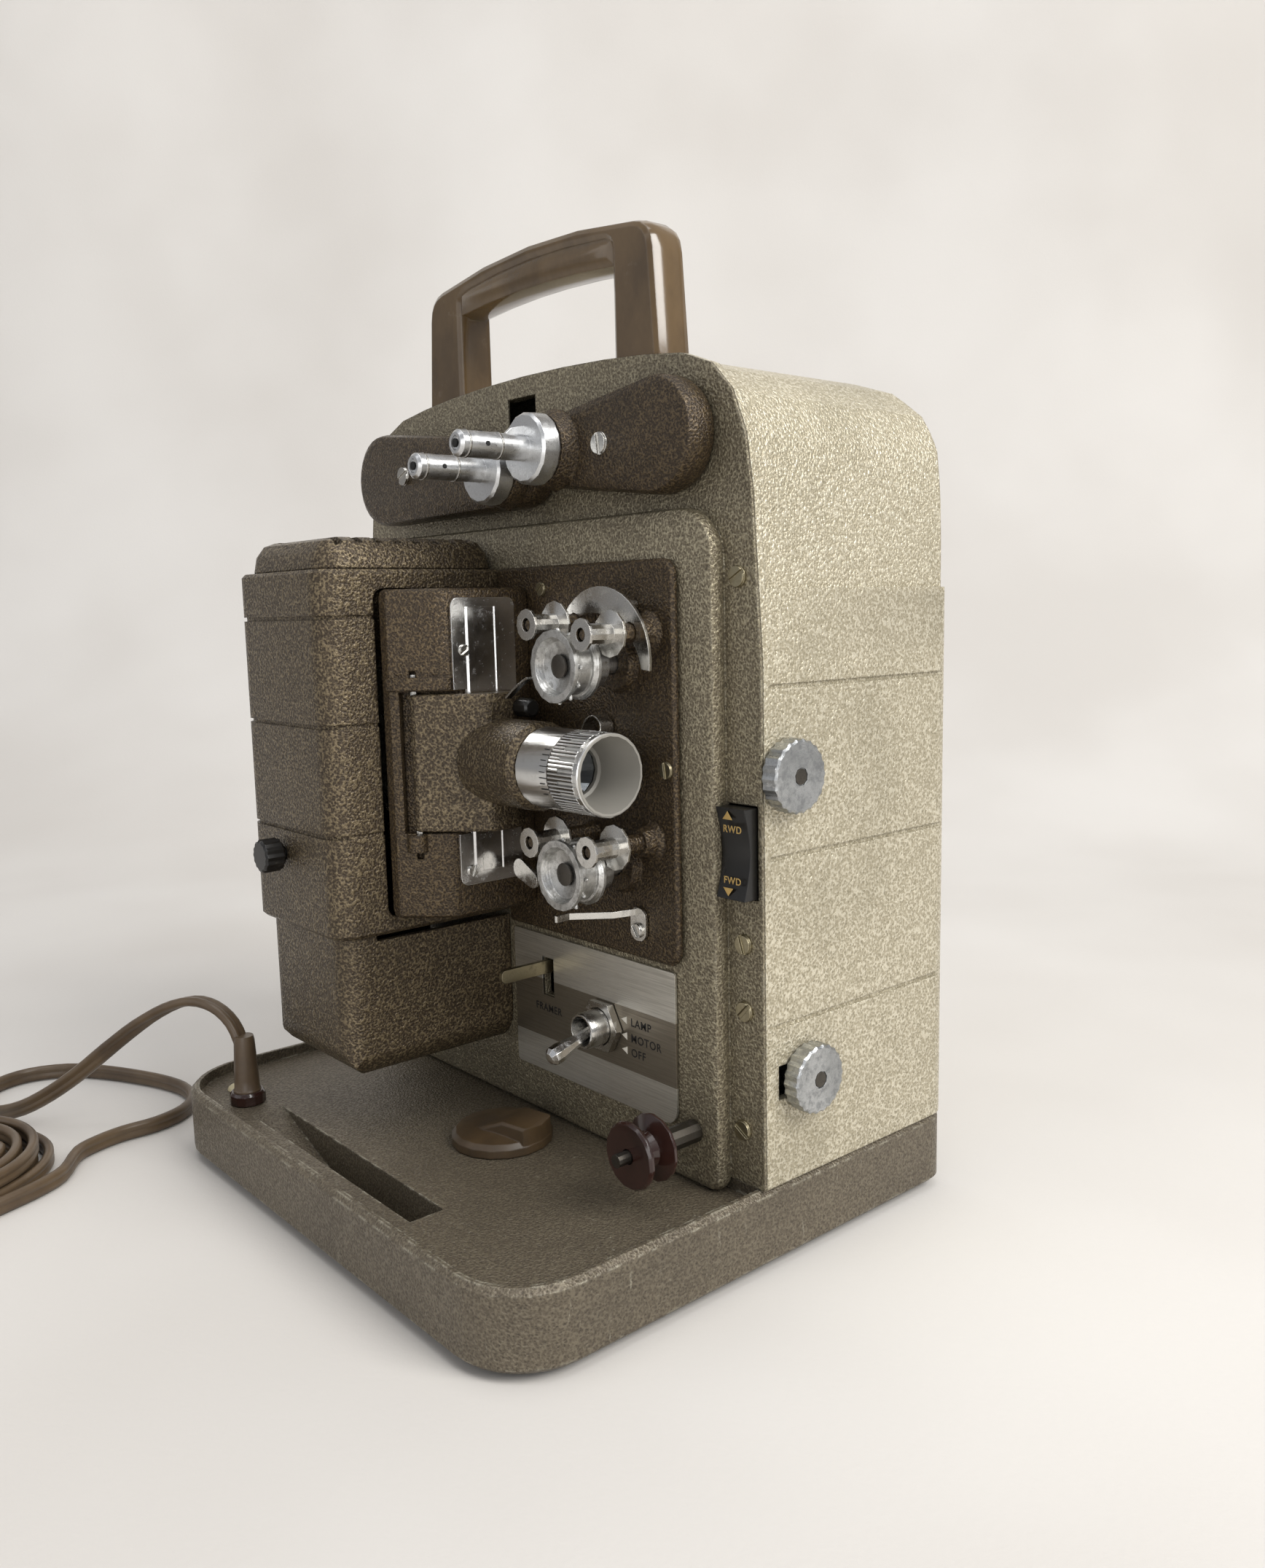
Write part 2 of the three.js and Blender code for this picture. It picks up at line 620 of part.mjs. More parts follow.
function lowerStripper() {
  const [x, z] = LOWER_SPROCKET;
  const strip = [[x - 4, -34], [x - 4.4, -29], [x + 1.2, -22], [x + 4, -18.5], [x + 6, -10.6]];
  const back = strip.map(([u, v]) => [u + 0.9, v + 0.2]).reverse();
  const wing = slab('z', polygon([...strip, ...back]), z - 15.2, z - 13.2);
  const foot = slab('y', roundedRect(x + 4.4, z - 23, x + 11.4, z - 12.6, 3), -10.3, -11.3, { curve: 3 });
  addNode('lower_film_stripper', join(wing, foot), STEEL);
}

function filmTab() {
  const shape = linkShape([-84.6, 114.6], 3.3, [-78, 111.8], 2.7, 8);
  const plate = slab('y', shape, -24, -25.1);
  const stem = rod(2, [-80, PLATE_FRONT - GAP, 113], [0, -1, 0], 14.2, 12);
  addNode('film_tab', join(plate, stem), STEEL);
}

function idler() {
  const [x, z] = [-23.2, 39.8];
  const post = [[0, 0], [3.6, 0], [3.6, 15], [2, 15], [2, 31.2], [0, 31.2]];
  addNode('idler_post', turned(post, [x, PANEL_FRONT - GAP, z], [0, -1, 0], 18), DARK_STEEL);
  const spool = [[2.3, 0], [9.8, 0], [10.2, 0.5], [10.2, 1.3], [5.4, 3], [4.4, 5.2], [5.4, 7.4]];
  spool.push([10.2, 9.2], [10.2, 10], [9.6, 10.8], [2.3, 10.8], [2.3, 0]);
  addNode('idler_pulley', turned(spool, [x, -23.2, z], [0, -1, 0], 24), MAROON_PLASTIC);
}

// ---------- gate and lens ----------

const HOUSING_PLAN = [[-113.2, PLATE_FRONT - GAP], [-113.2, -55], [-110.8, -56.6], [-107.6, -56.2]];
HOUSING_PLAN.push([-96.6, -45], [-95.1, -43.2], [GATE_FACE, -41.8]);
HOUSING_PLAN.push([GATE_FACE, -14], [-96, PLATE_FRONT - GAP]);

function gateHousing() {
  const plan = polygon(HOUSING_PLAN);
  const column = slab('z', plan, 99.5, 204.4, { bevel: 2.6, size: 1.6, segments: 3 });
  const rib = slab('z', polygon([
    [-110.4, -52],
    [-107.6, -57.4],
    [-104.6, -56],
    [-94.6, -45.4],
    [-93.7, -43.4],
    [-93.7, -42.2],
    [-98, -42.2],
  ]), 172.6, 177, { bevel: 0.4, segments: 1 });
  const lug = slab('z', linkShape([-106, -48], 4.4, [HINGE_X, HINGE_Y - 1], 3.4, 8), 121.5, 127);
  const recess = slab('z', polygon([
    [-108.6, -51],
    [GATE_FACE, -38.2],
    [-80, -38.2],
    [-80, -62],
    [-103, -62],
    [-102.8, -57],
  ]), 127.3, 172.3);
  let body = cut(join(column, rib, lug), recess);
  body = cut(body, rod(1.6, [HINGE_X, HINGE_Y, 119], [0, 0, 1], 60, 12));
  const light = block(-120, -80, FILM_Y - 4, FILM_Y + 4, LENS_Z - 4, LENS_Z + 4);
  const shutterRoom = block(-111, -99, -38, -9, 118, 186);
  body = cut(body, light, shutterRoom);
  addNode('gate_housing', body, PAINT_DARK);
}

function gatePlate() {
  const shape = roundedRect(-41.5, 110, -17.5, 201.4, 2.6);
  let plate = slab('x', shape, GATE_FACE + GAP, GATE_FACE + 1.4, { curve: 3 });
  const track = slab('x', roundedRect(-36, 114, -24, 198.5, 0.5), GATE_FACE + 1, GATE_FACE + 2.1);
  const groove = block(GATE_FACE + 1.7, GATE_FACE + 3, -33.4, -25.6, 100, 210);
  plate = cut(join(plate, track), groove);
  plate = cut(plate, block(-100, -90, -60, -37, 126.8, 172.8));
  const aperture = block(-100, -90, FILM_Y - 2.45, FILM_Y + 2.45, LENS_Z - 1.85, LENS_Z + 1.85);
  addNode('gate_plate', cut(plate, aperture), CHROME);
}

function lensCarrier() {
  const plan = polygon([
    [-102.6, -51.8],
    [-101, -51.4],
    [-85.6, -36.4],
    [-84.2, -34],
    [-84, -31],
    [-84, -26],
    [-85.5, -22],
    [-89, -19],
    [-91.8, -18.6],
    [-91.8, -36.6],
    [-105.2, -49.4],
  ]);
  let body = slab('z', plan, CARRIER_Z0, CARRIER_Z1, { bevel: 0.5, segments: 1 });
  const r = BARREL_RADIUS;
  const barrel = turned(
    [[0, 0], [r, 0], [r, 26.2], [r - 1.4, 28.4], [0, 28.4]],
    [BARREL_FRONT - 28.4, FILM_Y, LENS_Z],
    [1, 0, 0],
    32,
  );
  body = join(body, barrel);
  body = cut(body, rod(11.1, [-86, FILM_Y, LENS_Z], [1, 0, 0], 40, 28));
  body = cut(body, block(-95, -80, FILM_Y - 4, FILM_Y + 4, LENS_Z - 4, LENS_Z + 4));
  body = cut(body, rod(1.7, [HINGE_X, HINGE_Y, 119], [0, 0, 1], 60, 12));
  body = cut(body, rod(1.5, [-92, -23, 166.6], [1, 0, 0], 12, 10));
  addNode('lens_carrier', body, PAINT_BROWN);
  addNode('carrier_hinge_pin', rod(1.3, [HINGE_X, HINGE_Y, 121.2], [0, 0, 1], 56.6, 12), STEEL);
}

function lens() {
  const start = -80;
  const length = LENS_FRONT - start;
  const profile = [[8, 0], [10.8, 0], [10.8, 18.1], [LENS_RADIUS - 0.3, 18.1], [LENS_RADIUS, 18.6]];
  profile.push([LENS_RADIUS, length - 0.5], [LENS_RADIUS - 0.5, length], [11.2, length]);
  profile.push([8.6, length - 15], [7.6, length - 15.4], [7.6, length - 18], [8, length - 18.6], [8, 0]);
  let body = turned(profile, [start, FILM_Y, LENS_Z], [1, 0, 0], 36);
  for (let i = 0; i < 22; i += 1) {
    const t = (i * Math.PI) / 11;
    const geometry = new THREE.BoxGeometry(8.6, 1.2, 1.2);
    geometry.translate(LENS_FRONT - 5.2, 0, LENS_RADIUS + 0.25);
    geometry.rotateX(t);
    geometry.translate(0, FILM_Y, LENS_Z);
    body = cut(body, toSolid(geometry));
  }
  addNode('lens_mount', body, ALUMINIUM);
  const front = [[0, -1.5], [4, -1.2], [7.3, -0.6], [7.3, 1], [4, 2], [0, 2.4]];
  addNode('front_lens', turned(front, [LENS_FRONT - 17.2, FILM_Y, LENS_Z], [1, 0, 0], 20), GLASS);
}

function gateLatch() {
  const profile = [[0, -5], [1.2, -5], [1.2, 0], [3, 0], [3, 6], [2.3, 6.8], [0, 6.8]];
  addNode('gate_latch', turned(profile, [-84, -23, 166.6], [1, 0, 0], 16), BLACK_PLASTIC);
}

// ---------- lamphouse ----------

function lamphouseShell(inset, z0, z1, corner) {
  const plan = roundedRect(
    LAMP_X0 + inset,
    LAMP_Y0 + inset,
    LAMP_X1 - inset,
    LAMP_BACK + 0.01,
    [corner, corner, 0, 0],
  );
  return slab('z', plan, z0, z1, { curve: 5 });
}

function lamphouseCover() {
  const plan = roundedRect(LAMP_X0, LAMP_Y0, LAMP_X1, LAMP_BACK, [LAMP_CORNER, LAMP_CORNER, 1.4, 1.4]);
  let body = slab('z', plan, LAMP_Z0, LAMP_Z1, { bevel: 1.2, segments: 2, curve: 5 });
  body = cut(body, lamphouseShell(2, LAMP_Z0 - 2, LAMP_Z1 - 2.4, LAMP_CORNER - 2));
  const mouth = roundedRect(LAMP_X0 + 7, LAMP_Y0 + 7, LAMP_X1 - 7, LAMP_BACK - 6, 5);
  body = cut(body, slab('z', mouth, LAMP_Z1 - 6, LAMP_Z1 + 3, { curve: 4 }));
  const window = roundedRect(-57.0, 99.0, 10, 204.9, [3.6, 0, 0, 3.6]);
  body = cut(body, slab('x', window, LAMP_X1 - 5, LAMP_X1 + 5, { curve: 5 }));
  for (const z of LAMP_GROOVES) {
    const ring = lamphouseShell(-2, z - 0.65, z + 0.65, LAMP_CORNER);
    const kept = lamphouseShell(0.7, z - 2, z + 2, LAMP_CORNER);
    body = cut(body, cut(ring, kept));
  }
  body = cut(body, rod(2.6, [-150, -80, 118.2], [0, 1, 0], 12, 12));
  addNode('lamphouse_cover', body, PAINT_BROWN);
}

function lamphouseCap() {
  const outer = roundedRect(LAMP_X0 + 3, LAMP_Y0 + 3, LAMP_X1 - 2.4, LAMP_BACK, [9, 9, 8, 8]);
  let cap = slab('z', outer, LAMP_Z1 - 10 + GAP, LAMP_Z1 + 10.2, { bevel: 9.5, size: 7, segments: 5, curve: 5 });
  cap = cut(cap, block(-200, -80, -90, 0, LAMP_Z1 - 20, LAMP_Z1 + GAP));
  const inner = roundedRect(LAMP_X0 + 6, LAMP_Y0 + 6, LAMP_X1 - 5.4, LAMP_BACK - 3, 7.6);
  const hollow = { bevel: 9, size: 6.6, segments: 3, curve: 4 };
  cap = cut(cap, slab('z', inner, LAMP_Z1 - 12, LAMP_Z1 + 8, hollow));
  for (let i = 0; i < 8; i += 1) {
    const y = -66 + i * 7;
    cap = cut(cap, block(-160, LAMP_X1 - 5.5, y, y + 2.6, LAMP_Z1 + 4, LAMP_Z1 + 14));
  }
  addNode('lamphouse_cap', cap, PAINT_BROWN);
}

function lowerBox(inset, top) {
  const x0 = LAMP_X0 + 3.2 + inset;
  const x1 = LAMP_X1 - 3.2 - inset;
  const y0 = LAMP_Y0 + 3.2 + inset;
  const z0 = 44 + inset;
  const plan = slab('z', roundedRect(x0, y0, x1, LAMP_BACK, [8, 8, 0, 0]), z0, top, { curve: 5 });
  const front = slab('y', roundedRect(x0, z0, x1, top + 1, [15, 12, 0, 0]), LAMP_BACK, y0, { curve: 5 });
  const side = slab('x', roundedRect(y0, z0, LAMP_BACK, top + 1, [14, 0, 0, 0]), x0, x1, { curve: 5 });
  return common(plan, front, side);
}

function lamphouseBase() {
  let body = cut(lowerBox(0, 98), lowerBox(2.2, 104));
  body = cut(body, block(LAMP_X1 - 8, LAMP_X1 + 3, -60, 0, 91, 110));
  addNode('lamphouse_base', body, PAINT_BROWN);
}

function thumbScrew() {
  const teeth = 14;
  const points = [];
  for (let i = 0; i < 2 * teeth; i += 1) {
    const t = (i * Math.PI) / teeth;
    const r = i % 2 ? 5.1 : 5.6;
    points.push([-150 + r * Math.cos(t), 118.2 + r * Math.sin(t)]);
  }
  const head = slab('y', polygon(points), -76.6, -83.6, { bevel: 0.6, size: 0.6, segments: 1 });
  const stem = rod(2.2, [-150, -68, 118.2], [0, -1, 0], 10, 12);
  addNode('lamphouse_screw', join(head, stem), BLACK_PLASTIC);
}

function lampParts() {
  const socket = [[0, 0], [13, 0], [13, 4], [10, 4], [10, 24], [0, 24]];
  addNode('lamp_socket', turned(socket, [BULB_X, BULB_Y, 92], [0, 0, 1], 18), BLACK_PLASTIC);
  const bulb = [[0, 0], [8, 0], [8, 10], [9.4, 14], [12.6, 22], [12.6, 56], [11, 62], [7, 66], [0, 67.4]];
  addNode('lamp', turned(bulb, [BULB_X, BULB_Y, 116.3], [0, 0, 1], 20), GLASS);
  const mirrorShape = slab('x', roundedRect(-46, 132, -13, 168, 6), -165.4, -163.6, { curve: 3 });
  addNode('lamp_reflector', mirrorShape, CHROME);
  const glass = [[0, 0], [6, 0.8], [10.4, 2.6], [10.4, 4.4], [6, 6.4], [0, 7.4]];
  addNode('condenser_lens', turned(glass, [-123.8, FILM_Y, LENS_Z], [1, 0, 0], 20), GLASS);
}

// ---------- drive inside the tower ----------

function drive() {
  const frame = slab('y', roundedRect(TOWER_X0 + 20, 34, TOWER_X1 - 20, 232, 6), 7, 5, { curve: 3 });
  const windows = [[-93, -44, 150, 200], [-200, -165, 60, 180]];
  let plate = frame;
  for (const [x0, x1, z0, z1] of windows) {
    plate = cut(plate, block(x0, x1, 0, 20, z0, z1));
  }
  addNode('drive_frame', plate, STEEL);
  const motor = [[0, 0], [27, 0], [29, 2], [29, 38], [27, 40], [9, 40], [9, 44], [0, 44]];
  addNode('motor', turned(motor, [-142, 22, 92], [0, 1, 0], 24), DARK_STEEL);
  const disc = [[0, 0], [33, 0], [33, 1.4], [5, 1.4], [5, 8], [0, 8]];
  let fan = turned(disc, [-142, 20.5, 92], [0, -1, 0], 28);
  for (let i = 0; i < 10; i += 1) {
    const geometry = new THREE.BoxGeometry(14, 5, 1.2);
    geometry.translate(24, 0, 0);
    geometry.rotateY((i * Math.PI) / 5);
    geometry.translate(-142, 17, 92);
    fan = join(fan, toSolid(geometry));
  }
  addNode('blower_wheel', fan, ALUMINIUM);
  const profile = [[0, 0], [1.8, 0], [1.8, 5.6], [12.9, 5.6], [12.9, 6.4], [1.8, 6.4]];
  profile.push([1.8, 11.4], [0, 11.4]);
  const whole = turned(profile, [-110.7, SHUTTER_Y, SHUTTER_Z], [1, 0, 0], 26);
  const notch = block(-107, -103, SHUTTER_Y + 4, SHUTTER_Y + 20, SHUTTER_Z - 7, SHUTTER_Z + 7);
  addNode('shutter', cut(whole, notch), DARK_STEEL);
}

// ---------- reel arms and handle ----------

function reelArm(name, pivot, spindle) {
  const outline = linkShape(pivot, ARM_BIG, spindle, ARM_SMALL, 14);
  let body = slab('y', outline, RIM_FRONT - GAP, ARM_FRONT, { bevel: 3.2, size: 3, segments: 3 });
  const boss = [[0, 0], [12.6, 0], [ARM_SMALL - 0.4, 5.2], [0, 5.2]];
  const bossSolid = turned(boss, [spindle[0], ARM_FRONT + 0.2, spindle[1]], [0, -1, 0], 26);
  const limit = rod(ARM_SMALL, [spindle[0], 0, spindle[1]], [0, -1, 0], 30, 28);
  const side = Math.sign(pivot[0] - spindle[0]);
  const x0 = side > 0 ? spindle[0] : spindle[0] - 20;
  const half = block(x0, x0 + 20, -30, 0, spindle[1] - 14, spindle[1] + 14);
  body = join(body, common(bossSolid, join(limit, half)));
  const shaft = rod(4.8, [pivot[0], 8, pivot[1]], [0, -1, 0], 14, 16);
  const bore = rod(2.6, [spindle[0], 2, spindle[1]], [0, -1, 0], 40, 14);
  addNode(name, cut(join(body, shaft), bore), PAINT_DARK);
}

function reelSpindle(name, [x, z]) {
  const start = ARM_BOSS - 0.3;
  const length = start - SPINDLE_TIP;
  const profile = [[0, -10], [2.2, -10], [2.2, 0], [10.6, 0], [10.9, 0.6], [10.6, 5.6]];
  profile.push([9.8, 6.4], [SPINDLE_RADIUS, 6.4]);
  profile.push([SPINDLE_RADIUS, length - 0.9], [SPINDLE_RADIUS - 0.9, length]);
  profile.push([2.2, length], [2, length - 1.2], [0, length - 1.2]);
  let body = turned(profile, [x, start, z], [0, -1, 0], 24);
  const fin = slab('x', polygon([
    [start - 5, z + 3],
    [start - 5, z + 6.8],
    [start - 11, z + 5.6],
    [start - 14, z + 3],
  ]), x - 0.7, x + 0.7);
  body = join(body, fin);
  addNode(name, body, ALUMINIUM);
}

function carryHandle() {
  const middle = (HANDLE_X0 + HANDLE_X1) / 2;
  const outline = new THREE.Shape();
  outline.moveTo(HANDLE_X0, 262);
  outline.lineTo(HANDLE_X0 + 24, 262);
  outline.lineTo(HANDLE_X0 + 24, 304);
  outline.quadraticCurveTo(HANDLE_X0 + 24, 308, HANDLE_X0 + 28, 308.4);
  outline.quadraticCurveTo(middle, 313, HANDLE_X1 - 26, 308.4);
  outline.quadraticCurveTo(HANDLE_X1 - 22, 308, HANDLE_X1 - 22, 304);
  outline.lineTo(HANDLE_X1 - 22, 262);
  outline.lineTo(HANDLE_X1, 262);
  outline.lineTo(HANDLE_X1 - 3, 302);
  outline.quadraticCurveTo(HANDLE_X1 - 3.6, 310.6, HANDLE_X1 - 12, 311.6);
  outline.quadraticCurveTo(middle, HANDLE_TOP + 4.4, HANDLE_X0 + 12, 311.6);
  outline.quadraticCurveTo(HANDLE_X0 + 3.6, 310.6, HANDLE_X0 + 3, 302);
  outline.closePath();
  const frameOptions = { bevel: 3, size: 2.2, segments: 3, curve: 7 };
  const frame = slab('y', outline, HANDLE_Y1, HANDLE_Y0, frameOptions);
  const grip = new THREE.Shape();
  grip.moveTo(HANDLE_X0 + 22, 310);
  grip.lineTo(HANDLE_X0 + 22, 300);
  grip.quadraticCurveTo(middle, 303.6, HANDLE_X1 - 20, 299);
  grip.lineTo(HANDLE_X1 - 20, 310);
  grip.quadraticCurveTo(middle, 315, HANDLE_X0 + 22, 310);
  const gripOptions = { bevel: 4.4, size: 4, segments: 3, curve: 8 };
  const roll = slab('y', grip, HANDLE_Y1 + 0.4, HANDLE_Y0 - 0.1, gripOptions);
  const trim = slab('y', towerShape(-GAP - 0.1, 120), 60, -30, { curve: 6 });
  addNode('carry_handle', cut(join(frame, roll), trim), BROWN_PLASTIC);
}

// ---------- mains cord ----------

function cordBush() {
  const profile = [[CORD_RADIUS + GAP, -9], [4.2, -9], [4.2, 0.3], [6.3, 0.3], [6.3, 3.6], [5.6, 4.6]];
  profile.push([CORD_RADIUS + 0.9, 4.6], [CORD_RADIUS + GAP, 4.2], [CORD_RADIUS + GAP, -9]);
  addNode('cord_bush', turned(profile, [-184, -79, TRAY_FLOOR], [0, 0, 1], 20), MAROON_PLASTIC);
}

// Uncoiled run of the cord from the bush to the coil, lying on the table after the arch.
const CORD_ROUTE = [
  [-184, -79, 14],
  [-184, -79, 30],
  [-184.8, -79.3, 42],
  [-188.5, -81, 51],
  [-195.5, -84.5, 56.5],
  [-205, -89, 57.5],
  [-216, -94.5, 53.5],
  [-228, -101.5, 45.5],
  [-240, -109.5, 35],
  [-251, -117.5, 24.5],
  [-262, -125.5, 15.5],
  [-273, -133, 8.6],
  [-285, -139.5, 4.6],
  [-298, -143, 3.3],
  [-312, -140, 3.3],
  [-322, -130, 3.3],
  [-325, -117, 3.3],
  [-319, -103, 3.3],
  [-307, -93, 3.3],
  [-292, -84.5, 3.3],
  [-276, -77.5, 3.3],
  [-261, -74, 3.3],
  [-247.5, -76, 3.3],
  [-237.5, -84, 3.3],
  [-233, -96, 3.3],
  [-233, -108.5, 3.3],
  [-230.5, -119, 3.3],
  [-225.5, -127.6, 3.3],
];

function cordTube() {
  const points = CORD_ROUTE.map((p) => new THREE.Vector3(...p));
  const path = new THREE.CatmullRomCurve3(points, false, 'centripetal');
  const ring = [];
  for (let i = 0; i < 8; i += 1) {
    const t = (i * Math.PI) / 4;
    ring.push([CORD_RADIUS * Math.cos(t), CORD_RADIUS * Math.sin(t)]);
  }
  const geometry = new THREE.ExtrudeGeometry(polygon(ring), {
    steps: 44,
    extrudePath: path,
    bevelEnabled: false,
  });
  addNode('cord', toSolid(geometry), CORD_VINYL);
}

// Hank of turns lying beside the tray, with the plug end coming off it.
function cordCoil() {
  const [x, y] = COIL_CENTRE;
  const inner = COIL_RADIUS - COIL_WIDTH / 2;
  const outer = COIL_RADIUS + COIL_WIDTH / 2;
  const profile = [[inner + 3, 0.3], [outer - 3, 0.3], [outer, 4], [outer, COIL_HEIGHT - 5]];
  profile.push([outer - 4, COIL_HEIGHT], [inner + 4, COIL_HEIGHT], [inner, COIL_HEIGHT - 5]);
  profile.push([inner, 4], [inner + 3, 0.3]);
  addNode('cord_coil', turned(profile, [x, y, 0], [0, 0, 1], 28), CORD_VINYL);
}

function plug() {
  const body = slab('z', roundedRect(-12, -9, 12, 9, 4), 0.3, 15.3, { bevel: 2, segments: 2 });
  const tail = rod(4, [-26, 0, 7.8], [1, 0, 0], 18, 12);
  const blades = [-6.35, 6.35].map((v) => block(11, 29, v - 0.75, v + 0.75, 4.6, 11));
  const whole = join(body, tail, ...blades).rotate([0, 0, 180]);
  addNode('plug', whole.translate([COIL_CENTRE[0] - 34, COIL_CENTRE[1] - 52, 0]), BROWN_PLASTIC);
}

// ---------- assembly ----------

baseCasting();
baseUnderside();
feet();
tiltKnob();
caseCover();
faceplate();
mechanismPlate();
nameplate();
toggleSwitch();
framerLever();
directionRocker();
knurledKnob('inching_knob', 8.3, 148.9, 10.75);
knurledKnob('speed_knob', 16.4, 57.8, 10.5);
sprocket('upper_sprocket', UPPER_SPROCKET);
sprocket('lower_sprocket', LOWER_SPROCKET);
roller('upper_roller_right', UPPER_ROLLERS[0]);
roller('upper_roller_left', UPPER_ROLLERS[1]);
roller('lower_roller_right', LOWER_ROLLERS[0]);
roller('lower_roller_left', LOWER_ROLLERS[1]);
filmGuard();
lowerStripper();
filmTab();
idler();
gateHousing();
gatePlate();
lensCarrier();
lens();
gateLatch();
lamphouseCover();
lamphouseCap();
lamphouseBase();
thumbScrew();
lampParts();
drive();
reelArm('supply_arm', SUPPLY_PIVOT, SUPPLY_SPINDLE);
reelArm('take_up_arm', TAKE_UP_PIVOT, TAKE_UP_SPINDLE);
reelSpindle('supply_spindle', SUPPLY_SPINDLE);
reelSpindle('take_up_spindle', TAKE_UP_SPINDLE);
carryHandle();
cordBush();
cordTube();
cordCoil();
plug();

export default root;
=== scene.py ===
import bpy
import bmesh
import json
import math
from mathutils import Matrix, Vector


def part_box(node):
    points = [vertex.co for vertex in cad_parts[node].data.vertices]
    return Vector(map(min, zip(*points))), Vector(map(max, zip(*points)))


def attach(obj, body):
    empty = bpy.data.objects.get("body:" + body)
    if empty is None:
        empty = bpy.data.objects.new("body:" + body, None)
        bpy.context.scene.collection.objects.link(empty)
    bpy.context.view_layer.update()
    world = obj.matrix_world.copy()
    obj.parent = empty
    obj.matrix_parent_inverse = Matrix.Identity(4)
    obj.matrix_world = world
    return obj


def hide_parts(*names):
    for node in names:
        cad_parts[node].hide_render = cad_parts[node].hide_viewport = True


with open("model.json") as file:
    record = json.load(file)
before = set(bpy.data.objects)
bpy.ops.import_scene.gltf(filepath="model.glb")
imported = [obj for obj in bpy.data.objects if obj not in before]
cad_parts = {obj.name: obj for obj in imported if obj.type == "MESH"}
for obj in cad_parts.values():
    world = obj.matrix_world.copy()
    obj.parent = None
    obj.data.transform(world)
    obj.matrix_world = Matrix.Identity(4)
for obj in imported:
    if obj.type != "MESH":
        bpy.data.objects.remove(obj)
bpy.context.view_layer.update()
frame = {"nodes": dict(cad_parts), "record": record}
RECORD = frame["record"]
MM = 0.001
SHIFT = Vector((0.10675, 0.00225, 0.0))

CAMERA_PLACE = (0.34693, -0.25249, 0.19671)
CAMERA_AZIMUTH = 49.39
CAMERA_ELEVATION = 7.963
CAMERA_ROLL = -1.293
CAMERA_LENS = 28.745

FRONT = (0, -1, 0)
UP = (0, 0, 1)
RIGHT = (1, 0, 0)

MERGE_DISTANCE = 0.000002
SHARP_EDGE = 29
LENS_AXIS = (-27.25, 149.9)
RING_INSIDE = 11.9
RING_OUTSIDE = 12.1
SPROCKET_AXES = {"upper": (-50.3, 180.6), "lower": (-50.6, 118.9)}
KNOB_AXES = {"inching": (8.3, 148.9), "speed": (16.4, 57.8)}


def front_of(node):
    """Drawing Y of the foremost point of a node or body."""
    return (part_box(node)[0][1] - SHIFT.y) / MM


def at(x, y, z):
    """A point given in the part's drawing millimetres, in the row frame."""
    return Vector((x, y, z)) * MM + SHIFT


# ---------- camera ----------

def camera():
    azimuth = math.radians(CAMERA_AZIMUTH)
    elevation = math.radians(CAMERA_ELEVATION)
    roll = math.radians(CAMERA_ROLL)
    ahead = Vector((-math.sin(azimuth) * math.cos(elevation),
                    math.cos(azimuth) * math.cos(elevation), -math.sin(elevation)))
    right = Vector((math.cos(azimuth), math.sin(azimuth), 0))
    up = right.cross(ahead)
    side = math.cos(roll) * right + math.sin(roll) * up
    top = math.cos(roll) * up - math.sin(roll) * right
    data = bpy.data.cameras.new("camera")
    data.sensor_fit = "VERTICAL"
    data.sensor_height = 36
    data.lens = CAMERA_LENS
    data.clip_start = 0.01
    obj = bpy.data.objects.new("camera", data)
    bpy.context.collection.objects.link(obj)
    turn = Matrix((side, top, -ahead)).transposed()
    obj.matrix_world = Matrix.Translation(CAMERA_PLACE) @ turn.to_4x4()
    bpy.context.scene.camera = obj


camera()


# ---------- materials ----------

def tone(code):
    """Linear colour of a #rrggbb code."""
    parts = [int(code[i:i + 2], 16) / 255 for i in (1, 3, 5)]
    return tuple(c / 12.92 if c < 0.04045 else ((c + 0.055) / 1.055) ** 2.4 for c in parts) + (1.0,)


